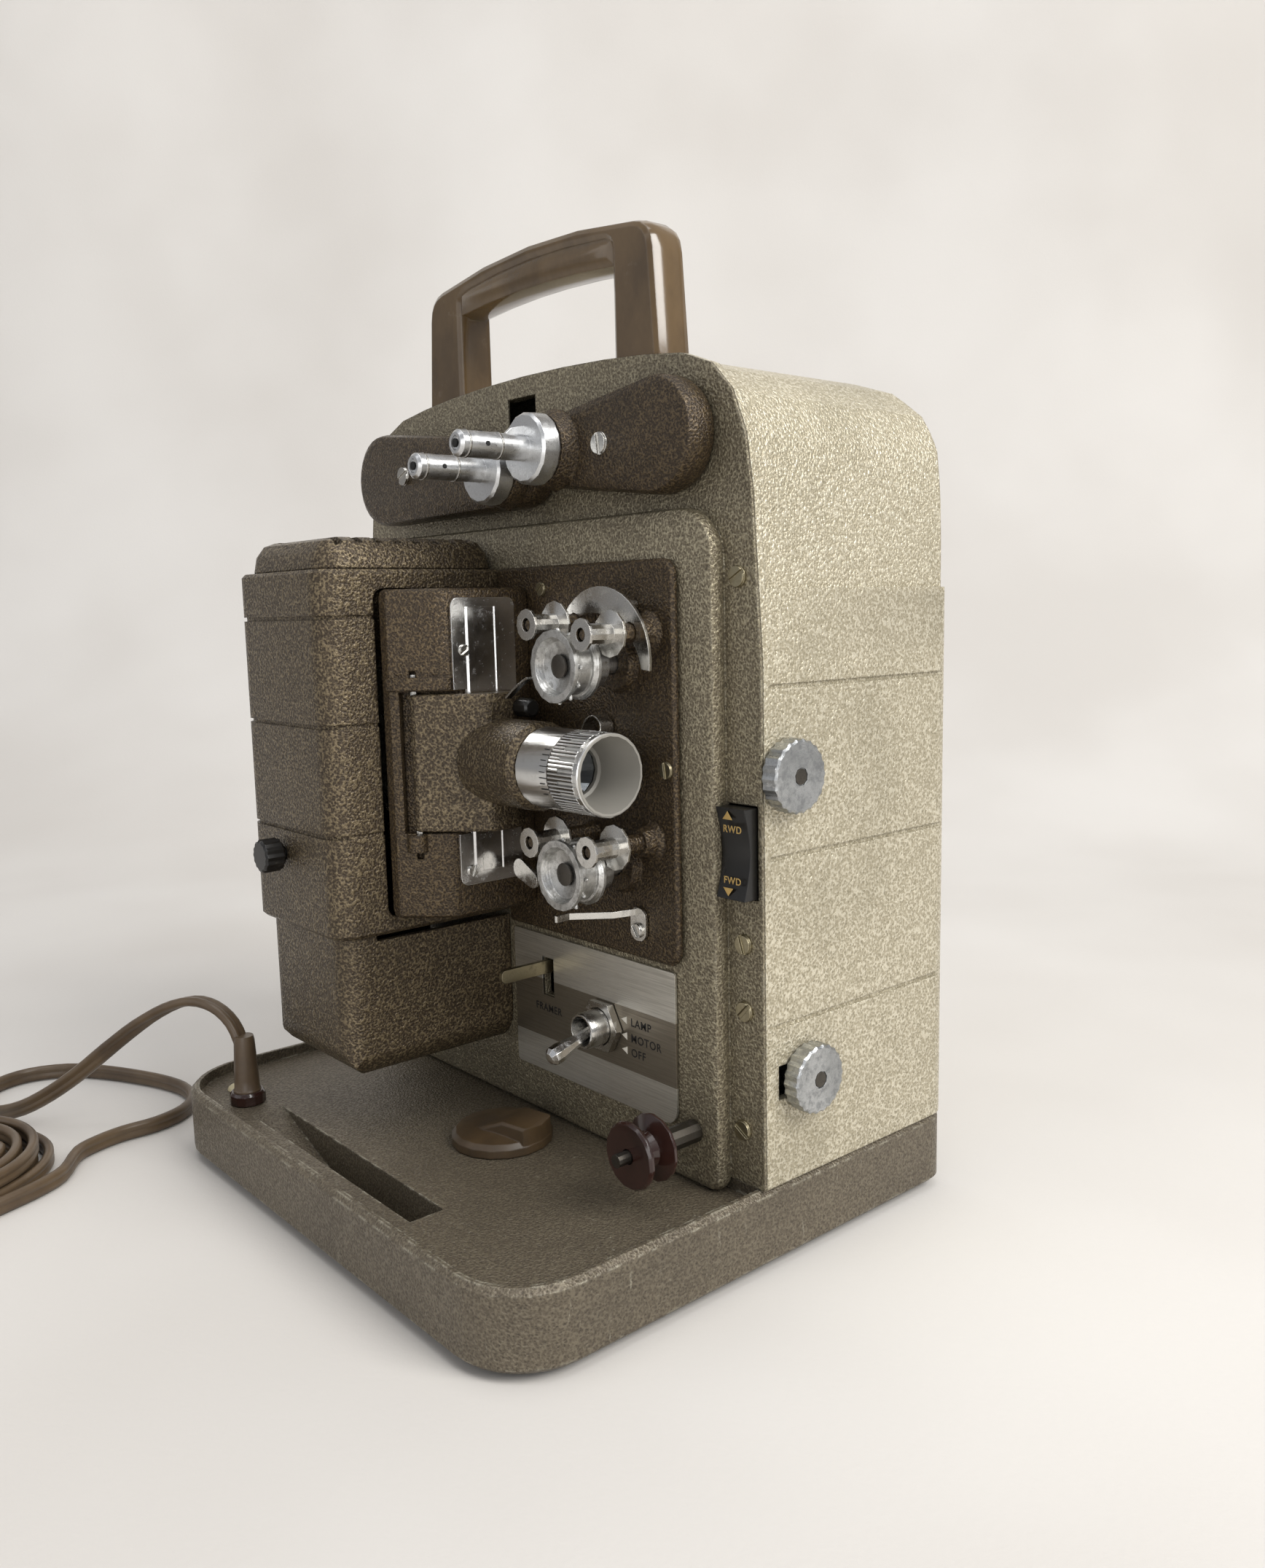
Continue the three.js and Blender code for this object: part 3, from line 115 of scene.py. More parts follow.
class Look:
    """A node material under construction."""

    def __init__(self, name, **sockets):
        self.mat = bpy.data.materials.new(name)
        self.mat.use_nodes = True
        self.tree = self.mat.node_tree
        self.bsdf = self.tree.nodes["Principled BSDF"]
        self.coord = self.tree.nodes.new("ShaderNodeTexCoord").outputs["Object"]
        for key, value in sockets.items():
            self.bsdf.inputs[key.replace("_", " ")].default_value = value

    def add(self, kind, inputs, out=0, **props):
        node = self.tree.nodes.new("ShaderNode" + kind)
        for key, value in props.items():
            setattr(node, key, value)
        for key, value in inputs.items():
            if isinstance(value, bpy.types.NodeSocket):
                self.tree.links.new(value, node.inputs[key])
            else:
                node.inputs[key].default_value = value
        return node.outputs[out]

    def noise(self, scale, detail=2.0, vector=None, rough=0.5):
        inputs = {"Vector": vector or self.coord, "Scale": scale, "Detail": detail, "Roughness": rough}
        return self.add("TexNoise", inputs)

    def cells(self, scale, vector=None, feature="SMOOTH_F1"):
        return self.add("TexVoronoi", {"Vector": vector or self.coord, "Scale": scale}, feature=feature)

    def axes(self):
        """Object X, Y and Z as three sockets."""
        split = self.tree.nodes.new("ShaderNodeSeparateXYZ")
        self.tree.links.new(self.coord, split.inputs[0])
        return split.outputs

    def length(self, u, v):
        return self.math("SQRT", self.math("ADD", self.math("MULTIPLY", u, u), self.math("MULTIPLY", v, v)))

    def stretched(self, x, y, z):
        return self.add("Mapping", {"Vector": self.coord, "Scale": (x, y, z)})

    def math(self, operation, a, b=0.0):
        return self.add("Math", {0: a, 1: b}, operation=operation)

    def ramp(self, value, low, high, to_low=0.0, to_high=1.0):
        inputs = {"Value": value, "From Min": low, "From Max": high, "To Min": to_low, "To Max": to_high}
        return self.add("MapRange", inputs, interpolation_type="SMOOTHSTEP")

    def mix(self, factor, a, b):
        return self.add("Mix", {0: factor, 6: a, 7: b}, out=2, data_type="RGBA")

    def to(self, socket, value):
        self.tree.links.new(value, self.bsdf.inputs[socket])

    def relief(self, height, strength, distance, edge=0.0):
        inputs = {"Height": height, "Strength": strength, "Distance": distance}
        if edge:
            inputs["Normal"] = self.add("Bevel", {"Radius": edge}, samples=4)
        self.to("Normal", self.add("Bump", inputs))

    def warped(self, amount, scale):
        wobble = self.add("TexNoise", {"Vector": self.coord, "Scale": scale, "Detail": 2.0}, out=1)
        moved = self.add("VectorMath", {0: wobble, 1: (0.5, 0.5, 0.5)}, operation="SUBTRACT")
        moved = self.add("VectorMath", {0: moved, "Scale": amount}, operation="SCALE")
        return self.add("VectorMath", {0: self.coord, 1: moved}, operation="ADD")


def hammertone(name, base, glint, low, size=1.25, shine=0.4, wear=0.0, metal=0.45, fleck_and_glint=0.45):
    look = Look(name, Metallic=metal, Roughness=shine)
    place = look.warped(size * 1.1 * MM, 520 / size)
    bumps = look.cells(1050 / size, place)
    fine = look.noise(1300 / size, 3.0)
    height = look.math("ADD", look.math("MULTIPLY", bumps, 0.75), look.math("MULTIPLY", fine, 0.65))
    # metallic flecks of the paint, and also a painted highlight: the raised ridges of the relief are lifted
    # to the glint colour
    glint_flecks = look.ramp(height, 0.58, 0.82, 0.0, fleck_and_glint)
    colour = look.mix(glint_flecks, tone(base), tone(glint))
    # painted shade: the dimples of the hammer relief are darkened towards the low colour
    pit_shade = look.ramp(height, 0.56, 0.36, 0.0, 0.6)
    colour = look.mix(pit_shade, colour, tone(low))
    patches = look.ramp(look.noise(22, 4.0), 0.4, 0.75, 0.0, 0.3)
    colour = look.mix(patches, colour, tone(low))
    if wear:
        rounded = look.add("Bevel", {"Radius": 1.3 * MM}, samples=6)
        plain = look.add("NewGeometry", {}, out=1)
        turn = look.add("VectorMath", {0: rounded, 1: plain}, out=1, operation="DOT_PRODUCT")
        edges = look.ramp(turn, 0.995, 0.93)
        chips = look.ramp(look.noise(170, 5.0, rough=0.7), 0.46, 0.6)
        scratches = look.ramp(look.noise(60, 6.0, look.stretched(7, 7, 1.2), 0.75), 0.62, 0.72, 0.0, 0.75)
        marks = look.math("MAXIMUM", look.math("MULTIPLY", edges, chips), scratches)
        colour = look.mix(look.math("MULTIPLY", marks, wear), colour, tone("#a9a493"))
    look.to("Base Color", colour)
    look.to("Roughness", look.ramp(height, 0.3, 0.9, shine + 0.12, shine - 0.1))
    look.relief(height, 1.0, 0.55 * size * MM, 0.7 * MM)
    return look.mat


def metal(name, base, dull, roughness=0.28, grain=(1, 1, 1), spots=0.35, edge=0.25):
    look = Look(name, Metallic=1.0, Roughness=roughness)
    lines = look.noise(2600, 3.0, look.stretched(*grain), 0.7)
    stain = look.ramp(look.noise(330, 5.0, rough=0.7), 0.48, 0.72)
    colour = look.mix(look.math("MULTIPLY", stain, spots), tone(base), tone(dull))
    look.to("Base Color", look.mix(look.ramp(lines, 0.3, 0.8, 0.0, 0.25), colour, tone(dull)))
    rough = look.math("ADD", look.ramp(lines, 0.2, 0.8, roughness - 0.06, roughness + 0.08),
                      look.math("MULTIPLY", stain, 0.18))
    look.to("Roughness", rough)
    look.relief(lines, 0.12, 0.05 * MM, edge * MM)
    return look.mat


def plastic(name, base, deep, roughness=0.25, streak=(1, 1, 1), edge=0.5, coat=0.0, strength=0.06):
    look = Look(name, Roughness=roughness, Coat_Weight=coat, Coat_Roughness=0.08)
    swirl = look.noise(38, 5.0, look.stretched(*streak), 0.6)
    fine = look.noise(1200, 2.0)
    colour = look.mix(look.ramp(swirl, 0.35, 0.7), tone(base), tone(deep))
    dust = look.ramp(look.noise(95, 6.0, rough=0.75), 0.62, 0.78, 0.0, 0.22)
    look.to("Base Color", look.mix(dust, colour, tone("#9b9184")))
    look.to("Roughness", look.math("ADD", look.ramp(swirl, 0.2, 0.8, roughness - 0.05, roughness + 0.08),
                                   look.math("MULTIPLY", dust, 0.6)))
    look.relief(fine, strength, 0.1 * MM, edge * MM)
    return look.mat


def plate_look():
    look = Look("printed_plate", Metallic=0.85, Roughness=0.34)
    grain = look.noise(900, 3.0, look.stretched(0.06, 1, 2.2), 0.7)
    height = look.axes()[2]
    lower = look.ramp(height, 51.1 * MM, 51.3 * MM)
    upper = look.ramp(height, 71.7 * MM, 71.9 * MM)
    dark = look.math("SUBTRACT", lower, upper)
    silver = look.mix(look.ramp(grain, 0.3, 0.75), tone("#d4d1c8"), tone("#aeaaa0"))
    band = look.mix(look.ramp(grain, 0.3, 0.8), tone("#8d8577"), tone("#756d60"))
    colour = look.mix(dark, silver, band)
    rub = look.ramp(look.noise(140, 6.0, look.stretched(0.6, 1, 1), 0.75), 0.6, 0.72, 0.0, 0.4)
    look.to("Base Color", look.mix(rub, colour, tone("#8a8172")))
    look.to("Roughness", look.ramp(grain, 0.2, 0.8, 0.28, 0.46))
    look.relief(grain, 0.1, 0.04 * MM, 0.2 * MM)
    return look.mat


def glass_look():
    look = Look("lens_glass", Roughness=0.03, IOR=1.5, Transmission_Weight=1.0)
    smear = look.noise(160, 4.0)
    look.to("Base Color", look.mix(look.ramp(smear, 0.4, 0.8), tone("#dfe6ea"), tone("#c3ccda")))
    look.relief(smear, 0.03, 0.02 * MM)
    return look.mat


def plug_look():
    look = Look("plug_moulding", Roughness=0.35)
    blade = look.ramp(look.axes()[0], -179.1 * MM, -179.3 * MM)
    swirl = look.noise(60, 4.0)
    body = look.mix(look.ramp(swirl, 0.35, 0.7), tone("#4b3a2a"), tone("#3a2c20"))
    brass = look.mix(look.ramp(look.noise(700, 4.0), 0.4, 0.7), tone("#c9a24e"), tone("#8f7440"))
    look.to("Base Color", look.mix(blade, body, brass))
    look.to("Metallic", blade)
    look.relief(swirl, 0.08, 0.1 * MM, 0.4 * MM)
    return look.mat


def paper_look():
    look = Look("backdrop_paper", Roughness=0.85)
    fibre = look.noise(420, 5.0, rough=0.65)
    broad = look.noise(3.0, 3.0)
    colour = look.mix(look.ramp(broad, 0.3, 0.75), tone("#d3d0cc"), tone("#c7c3be"))
    look.to("Base Color", colour)
    look.relief(fibre, 0.16, 0.6 * MM)
    return look.mat


LOOKS = {
    "brown_hammertone": hammertone(
        "brown_hammertone", "#44392b", "#8d7e62", "#272018", 0.8, 0.34, fleck_and_glint=0.6),
    "worn_hammertone": hammertone(
        "worn_hammertone", "#5e5547", "#8d8470", "#3b342b", 0.8, 0.44, 0.9, 0.3, 0.35),
    "olive_hammertone": hammertone(
        "olive_hammertone", "#716856", "#b1a88e", "#433b2f", 0.8, 0.34, 0.35, fleck_and_glint=0.6),
    "dark_hammertone": hammertone(
        "dark_hammertone", "#382d20", "#7a684b", "#211a13", 0.7, 0.36, fleck_and_glint=0.45),
    "beige_hammertone": hammertone(
        "beige_hammertone", "#aba28b", "#e0d9c4", "#79725d", 0.85, 0.34, 0.0, 0.4, 0.7),
    "aluminium": metal("aluminium", "#d9dadb", "#8c8b88", 0.3),
    "steel": metal("steel", "#cfcdc8", "#8d8982", 0.2, spots=0.22),
    "dark_steel": metal("dark_steel", "#5a5650", "#332f2b", 0.38),
    "chrome": metal("chrome", "#f0f0f0", "#b5b3ae", 0.14, spots=0.08),
    "brass": metal("brass", "#a39a80", "#686050", 0.32, spots=0.5),
    "brown_plastic": plastic("brown_plastic", "#624f35", "#493924", 0.15, (1, 1, 0.6), 0.9, 0.5),
    "tan_plastic": plastic("tan_plastic", "#4b3b27", "#33281b", 0.38, (1, 1, 1), 0.6),
    "maroon_plastic": plastic("maroon_plastic", "#35201b", "#221411", 0.18, (1, 1, 1), 0.4, 0.3),
    "black_plastic": plastic("black_plastic", "#131211", "#0b0b0a", 0.3, (1, 1, 1), 0.4),
    "brown_vinyl": plastic("brown_vinyl", "#5c4c39", "#46382a", 0.36, (1, 1, 1), 0.0, 0.0, 0.15),
    "black_rubber": plastic("black_rubber", "#262524", "#1a1a19", 0.75, (1, 1, 1), 0.5, 0.0, 0.3),
    "glass": glass_look(),
    "plate": plate_look(),
    "plug": plug_look(),
    "cream": plastic("cream_button", "#d9cfae", "#c2b48c", 0.3),
    "ink": plastic("label_ink", "#14110f", "#0b0a09", 0.6),
    "white_ink": plastic("label_white", "#e9e5da", "#d8d2c4", 0.5),
    "gilt": metal("gilt_ink", "#d8b878", "#a38445", 0.4, spots=0.2),
    # painted shade: near-black colour for the discs drawn in place of holes
    "hole_shade": plastic("painted_hole_shade", "#0d0c0b", "#070707", 0.7),
}


def lens_ring_look():
    """Bright straight knurl outside, satin grey paint inside the hood."""
    look = Look("knurled_lens_ring", Metallic=1.0, Roughness=0.25)
    axes = look.axes()
    y = look.math("ADD", axes[1], -LENS_AXIS[0] * MM)
    z = look.math("SUBTRACT", axes[2], LENS_AXIS[1] * MM)
    angle = look.math("ARCTAN2", y, z)
    radius = look.length(y, z)
    ridges = look.math("ABSOLUTE", look.math("SINE", look.math("MULTIPLY", angle, 32.0)))
    band = look.math("MULTIPLY", look.ramp(axes[0], 60.5 * MM, 60.9 * MM),
                     look.ramp(axes[0], 72.6 * MM, 72.2 * MM))
    edge = (RING_INSIDE * MM, RING_OUTSIDE * MM)
    outside = look.ramp(radius, *edge)
    knurl = look.math("MULTIPLY", look.math("MULTIPLY", ridges, band), outside)
    stain = look.ramp(look.noise(300, 5.0, rough=0.7), 0.5, 0.75, 0.0, 0.35)
    bright = look.mix(stain, tone("#dcdcda"), tone("#8c8983"))
    # painted shade: the troughs between the knurl ridges are mixed towards dark #55514b
    trough_shade = look.math("MULTIPLY", look.ramp(ridges, 0.45, 0.0, 0.0, 0.7),
                     look.math("MULTIPLY", band, outside))
    bright = look.mix(trough_shade, bright, tone("#55514b"))
    look.to("Base Color", look.mix(outside, tone("#8d8a83"), bright))
    look.to("Metallic", look.ramp(radius, *edge, 0.1, 1.0))
    look.to("Roughness", look.ramp(radius, *edge, 0.45, 0.24))
    look.relief(knurl, 1.0, 0.6 * MM, 0.2 * MM)
    return look.mat


def turned_look(name, axis, centre, base, dull, pitch=0.42):
    """Lathe-turned face: fine rings round an axis, with grey oxide blotches."""
    look = Look(name, Metallic=1.0, Roughness=0.34)
    axes = look.axes()
    u = look.math("SUBTRACT", axes["XYZ".index(axis)], centre[0])
    v = look.math("SUBTRACT", axes[2], centre[1])
    radius = look.length(u, v)
    rings = look.math("SINE", look.math("MULTIPLY", radius, 2 * math.pi / (pitch * MM)))
    stain = look.ramp(look.noise(420, 6.0, rough=0.75), 0.42, 0.66)
    broad = look.ramp(look.noise(95, 3.0), 0.35, 0.7, 0.0, 0.45)
    colour = look.mix(look.math("MULTIPLY", stain, 0.7), tone(base), tone(dull))
    look.to("Base Color", look.mix(broad, colour, tone(dull)))
    look.to("Roughness", look.math("ADD", look.ramp(rings, -1.0, 1.0, 0.26, 0.36),
                                   look.math("MULTIPLY", stain, 0.16)))
    look.relief(look.math("ADD", rings, look.math("MULTIPLY", stain, 1.5)), 0.25, 0.03 * MM, 0.25 * MM)
    return look.mat


LOOKS["lens_ring"] = lens_ring_look()
for place, (x, z) in SPROCKET_AXES.items():
    centre = (x * MM + SHIFT.x, z * MM)
    LOOKS[f"{place}_disc"] = turned_look(f"{place}_sprocket_metal", "X", centre, "#d2d2d0", "#7d7a74")
for place, (y, z) in KNOB_AXES.items():
    centre = (y * MM + SHIFT.y, z * MM)
    LOOKS[f"{place}_metal"] = turned_look(f"{place}_knob_metal", "Y", centre, "#b9bbbc", "#7f8182")
SPECIAL = {"upper_sprocket": "upper_disc", "lower_sprocket": "lower_disc",
           "inching_knob": "inching_metal", "speed_knob": "speed_metal",
           "lens_mount": "lens_ring", "base_casting": "worn_hammertone",
           "nameplate": "plate", "plug": "plug"}


def smoothing():
    """Modifier group that joins split corners and keeps only real edges sharp."""
    group = bpy.data.node_groups.new("join_and_smooth", "GeometryNodeTree")
    group.interface.new_socket("Geometry", in_out="INPUT", socket_type="NodeSocketGeometry")
    group.interface.new_socket("Geometry", in_out="OUTPUT", socket_type="NodeSocketGeometry")
    nodes = [group.nodes.new(kind) for kind in (
        "NodeGroupInput", "GeometryNodeMergeByDistance", "GeometryNodeSetShadeSmooth",
        "GeometryNodeSetShadeSmooth", "NodeGroupOutput")]
    nodes[1].inputs["Distance"].default_value = MERGE_DISTANCE
    nodes[3].domain = "EDGE"
    nodes[3].inputs["Shade Smooth"].default_value = False
    for a, b in zip(nodes, nodes[1:]):
        group.links.new(a.outputs[0], b.inputs["Geometry"] if "Geometry" in b.inputs else b.inputs[0])
    angle = group.nodes.new("GeometryNodeInputMeshEdgeAngle")
    above = group.nodes.new("FunctionNodeCompare")
    above.data_type = "FLOAT"
    above.operation = "GREATER_THAN"
    above.inputs[1].default_value = math.radians(SHARP_EDGE)
    group.links.new(angle.outputs[0], above.inputs[0])
    group.links.new(above.outputs[0], nodes[3].inputs["Selection"])
    return group


def dress_nodes():
    """Gives each carried-over CAD node its finish and smooth round faces."""
    group = smoothing()
    for part in RECORD["subparts"]:
        name = part["node"]
        obj = frame["nodes"][name]
        mesh = obj.data
        look = LOOKS[SPECIAL.get(name, part["material_slot"])]
        mesh.materials.clear()
        mesh.materials.append(look)
        if "custom_normal" in mesh.attributes:
            mesh.attributes.remove(mesh.attributes["custom_normal"])
        mesh.shade_smooth()
        obj.modifiers.new("join_and_smooth", "NODES").node_group = group


dress_nodes()


# ---------- mesh helpers ----------

def piece(name, bm, look, body, smooth=32):
    """Turns a bmesh into a finished piece that rides on a body."""
    bmesh.ops.recalc_face_normals(bm, faces=bm.faces)
    mesh = bpy.data.meshes.new(name)
    bm.to_mesh(mesh)
    bm.free()
    mesh.materials.append(LOOKS[look])
    mesh.shade_smooth()
    mesh.set_sharp_from_angle(angle=math.radians(smooth))
    obj = bpy.data.objects.new(name, mesh)
    bpy.context.collection.objects.link(obj)
    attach(obj, body)
    return obj


def placed(origin, direction, turn=0.0):
    """Matrix from local millimetres, +Z along direction, to the row frame."""
    spin = Vector(direction).to_track_quat("Z", "Y").to_matrix().to_4x4()
    return Matrix.Translation(at(*origin)) @ spin @ Matrix.Rotation(turn, 4, "Z") @ Matrix.Scale(MM, 4)


def lathe(bm, profile, matrix, segments=32):
    """Surface of revolution round local Z from (radius, height) points."""
    rings = []
    for r, z in profile:
        if r < 1e-6:
            rings.append([bm.verts.new(matrix @ Vector((0, 0, z)))])
            continue
        angles = [2 * math.pi * i / segments for i in range(segments)]
        rings.append([bm.verts.new(matrix @ Vector((r * math.cos(a), r * math.sin(a), z))) for a in angles])
    for a, b in zip(rings, rings[1:]):
        for i in range(segments):
            j = (i + 1) % segments
            loop = [a[i % len(a)], a[j % len(a)], b[j % len(b)], b[i % len(b)]]
            loop = list(dict.fromkeys(loop))
            if len(loop) > 2:
                bm.faces.new(loop)


def skin(bm, rings):
    """Closes a tube of equal rings, with a flat cap at each end."""
    count = len(rings[0])
    for a, b in zip(rings, rings[1:]):
        for i in range(count):
            j = (i + 1) % count
            bm.faces.new([a[i], a[j], b[j], b[i]])
    bm.faces.new(rings[0])
    bm.faces.new(rings[-1])


def prism(bm, outline, z0, z1, chamfer, matrix):
    """Straight bar along Z whose top edge is chamfered."""
    cx = sum(p[0] for p in outline) / len(outline)
    cy = sum(p[1] for p in outline) / len(outline)
    reach = max(math.hypot(p[0] - cx, p[1] - cy) for p in outline)
    k = 1 - chamfer / reach
    top = [(cx + (x - cx) * k, cy + (y - cy) * k) for x, y in outline]
    levels = [(outline, z0), (outline, z1 - chamfer), (top, z1)]
    rings = [[bm.verts.new(matrix @ Vector((x, y, z))) for x, y in shape] for shape, z in levels]
    skin(bm, rings)


def disc(radius, count=28):
    return [(radius * math.cos(2 * math.pi * i / count), radius * math.sin(2 * math.pi * i / count))
            for i in range(count)]


def stub(bm, radius, top, depth, matrix, segments):
    """Short cylinder from top down to -depth."""
    lathe(bm, [(0, top), (radius, top), (radius, -depth), (0, -depth)], matrix, segments)


def slotted_screw(name, origin, direction, radius, turn, body, look="steel", height=1.3):
    """Round head with a sawn slot and a thin washer line under it."""
    bm = bmesh.new()
    matrix = placed(origin, direction, turn)
    prism(bm, disc(radius), -0.2, height * 0.5, 0.1, matrix)
    half = 0.13 * radius + 0.18
    start = math.asin(half / (radius * 0.97))
    for side in (1, -1):
        angles = [start + (math.pi - 2 * start) * i / 12 for i in range(13)]
        outline = [(radius * 0.97 * math.cos(a), side * radius * 0.97 * math.sin(a)) for a in angles]
        prism(bm, outline, height * 0.4, height, height * 0.3, matrix)
    return piece(name, bm, look, body)


def ribbon(name, points, across, width, thickness, look, body):
    """Bent strip of sheet: a curve through the points, with across as its width direction."""
    bm = bmesh.new()
    pts = [at(*p) for p in smooth_line([Vector(p) for p in points], 4)]
    across = Vector(across).normalized()
    rings = []
    for i, p in enumerate(pts):
        ahead = (pts[min(i + 1, len(pts) - 1)] - pts[max(i - 1, 0)]).normalized()
        up = across.cross(ahead).normalized()
        a, b = across * width * MM / 2, up * thickness * MM / 2
        rings.append([bm.verts.new(p + s * a + t * b) for s, t in ((-1, -1), (1, -1), (1, 1), (-1, 1))])
    skin(bm, rings)
    return piece(name, bm, look, body, 45)


def smooth_line(points, steps):
    """Catmull-Rom samples through the points."""
    ends = [2 * points[0] - points[1]] + list(points) + [2 * points[-1] - points[-2]]
    line = []
    for a, b, c, d in zip(ends, ends[1:], ends[2:], ends[3:]):
        for i in range(steps):
            t = i / steps
            line.append(0.5 * (2 * b + (c - a) * t + (2 * a - 5 * b + 4 * c - d) * t * t
                               + (3 * b - a - 3 * c + d) * t ** 3))
    return line + [points[-1]]


def label(name, words, origin, size, body, look="ink", facing="front"):
    data = bpy.data.curves.new(name, "FONT")
    data.body = words
    data.size = size * MM
    data.extrude = 0.03 * MM
    data.offset = 0.05 * MM
    data.space_character = 1.12
    data.materials.append(LOOKS[look])
    obj = bpy.data.objects.new(name, data)
    bpy.context.collection.objects.link(obj)
    turn = Matrix(((1, 0, 0), (0, 0, -1), (0, 1, 0)))
    if facing == "side":
        turn = Matrix(((0, 0, 1), (1, 0, 0), (0, 1, 0)))
    obj.matrix_world = Matrix.Translation(at(*origin)) @ turn.to_4x4()
    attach(obj, body)
    bpy.context.view_layer.update()
    return obj


def smoothstep(t, a, b):
    t = min(1.0, max(0.0, (t - a) / (b - a)))
    return t * t * (3 - 2 * t)


# ---------- mains cord ----------

CORD_ROUTE = [
    (-184, -79, 26), (-184, -79, 33), (-184.8, -79.3, 42), (-188.5, -81, 51), (-195.5, -84.5, 56.5),
    (-205, -89, 57.5), (-216, -94.5, 53.5), (-228, -101.5, 45.5), (-240, -109.5, 35), (-251, -117.5, 24.5),
    (-262, -125.5, 15.5), (-273, -133, 8.6), (-285, -139.5, 4.6), (-298, -143, 3.3), (-312, -140, 3.3),
    (-322, -130, 3.3), (-325, -117, 3.3), (-319, -103, 3.3), (-307, -93, 3.3), (-292, -84.5, 3.3),
    (-276, -77.5, 3.3), (-261, -74, 3.3), (-247.5, -76, 3.3), (-237.5, -84, 3.3), (-233, -96, 3.3),
    (-233, -108.5, 3.3), (-230.5, -119, 3.3), (-225.5, -127.6, 3.3),
]
COIL = (-240, -176)
CORD_WIDTH = 6.2
CORD_THICK = 3.5


def coil_point(t):
    """Centre of the cord after t degrees of clockwise winding."""
    r = 50.5 - 8.5 * smoothstep(t, 0, 55)
    for inward in (340, 700, 1060):
        r -= 5.4 * smoothstep(t, inward, inward + 70)
    for outward in (1670, 2030):
        r += 5.4 * smoothstep(t, outward, outward + 70)
    r += 16 * smoothstep(t, 2225, 2332)
    z = 3.3 + 6.4 * smoothstep(t, 1375, 1455) - 1.9 * smoothstep(t, 2295, 2332)
    angle = math.radians(73.3 - t)
    return Vector((COIL[0] + r * math.cos(angle), COIL[1] + r * math.sin(angle), z))


def cord():
    route = [Vector(p) for p in CORD_ROUTE]
    turns = [coil_point(t) for t in range(18, 2333, 13)]
    tail = [Vector((-254, -228, 7.8)), Vector((-259, -228, 7.8))]
    line = smooth_line(route + turns + tail, 3)
    travelled = 0.0
    bm = bmesh.new()
    rings = []
    half = CORD_THICK / 2
    offset = CORD_WIDTH / 2 - half
    outline = []
    for centre, facing in ((offset, 0.0), (-offset, math.pi)):
        for i in range(9):
            a = facing + math.radians(-140 + 35 * i)
            outline.append((centre + half * math.cos(a), half * math.sin(a)))
    for i, p in enumerate(line):
        if i:
            travelled += (p - line[i - 1]).length
        ahead = (line[min(i + 1, len(line) - 1)] - line[max(i - 1, 0)]).normalized()
        flat = smoothstep(travelled, 30, 120)
        wide = Vector((0.45, -0.89, 0)).lerp(Vector((0, 0, 1)), flat)
        wide = (wide - ahead * wide.dot(ahead)).normalized()
        thin = ahead.cross(wide)
        rings.append([bm.verts.new((p + wide * u + thin * v) * MM + SHIFT) for u, v in outline])
    skin(bm, rings)
    obj = piece("mains_cord", bm, "brown_vinyl", "chassis", 50)
    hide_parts("cord", "cord_coil")


def strain_relief():
    """Tapered rubber sleeve that stands on the cord bush."""
    bm = bmesh.new()
    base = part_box("cord_bush")[1][2] / MM
    profile = [(0, -2), (4.9, -2), (4.9, 0.4), (4.5, 1.0), (4.35, 5),
               (4.1, 10), (3.85, 15), (3.65, 19), (3.3, 20.5), (0, 20.5)]
    lathe(bm, profile, placed((*CORD_ROUTE[0][:2], base), UP), 28)
    piece("strain_relief", bm, "brown_vinyl", "chassis")


cord()
strain_relief()


# ---------- small hardware ----------

def screws():
    rims = [(-8.2, 205, 0.5), (-7.2, 99.7, 1.9), (-7, 79.6, 0.8), (-8.2, 43, 2.6)]
    for i, (x, z, turn) in enumerate(rims):
        slotted_screw(f"rim_screw_{i + 1}", (x, -1.2, z), FRONT, 3.1, turn, "chassis", "brass")
    slotted_screw("supply_arm_screw", (-52.8, -13, 245.3), FRONT, 3.4, 1.7, "supply_arm")
    slotted_screw("take_up_arm_screw", (-164.6, -13, 246), FRONT, 3.4, 0.4, "take_up_arm")
    plate = [(-88.1, 203.6, 2.3), (-29.6, 149.5, 2.6), (-105.2, 184.2, 2.1)]
    for i, (x, z, r) in enumerate(plate):
        slotted_screw(f"plate_screw_{i + 1}", (x, -10, z), FRONT, r, 0.7 + i, "chassis", "brass", 1.0)
    slotted_screw("stripper_screw", (-42.7, -11.3, 99.3), FRONT, 2.4, 2.2, "chassis", "steel", 1.2)
    for i, (z, turn) in enumerate(((185, 0.6), (114.6, 1.2))):
        slotted_screw(f"gate_screw_{i + 1}", (-93.6, -37.2, z), RIGHT, 1.9, turn, "chassis", "steel", 1.0)
    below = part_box("bottom_cover")[0][2] / MM
    for i, (x, y) in enumerate(((-198, 68), (-16, 68), (-198, -62), (-16, -62))):
        slotted_screw(f"bottom_screw_{i + 1}", (x, y, below), (0, 0, -1), 2.6,
                      0.3 + i, "chassis", "steel", 0.9)
    for i, z in enumerate((60, 150, 225)):
        slotted_screw(f"back_screw_{i + 1}", (-213.6, 45, z), (-1, 0, 0), 2.9,
                      0.9 * i, "chassis", "brass", 1.0)


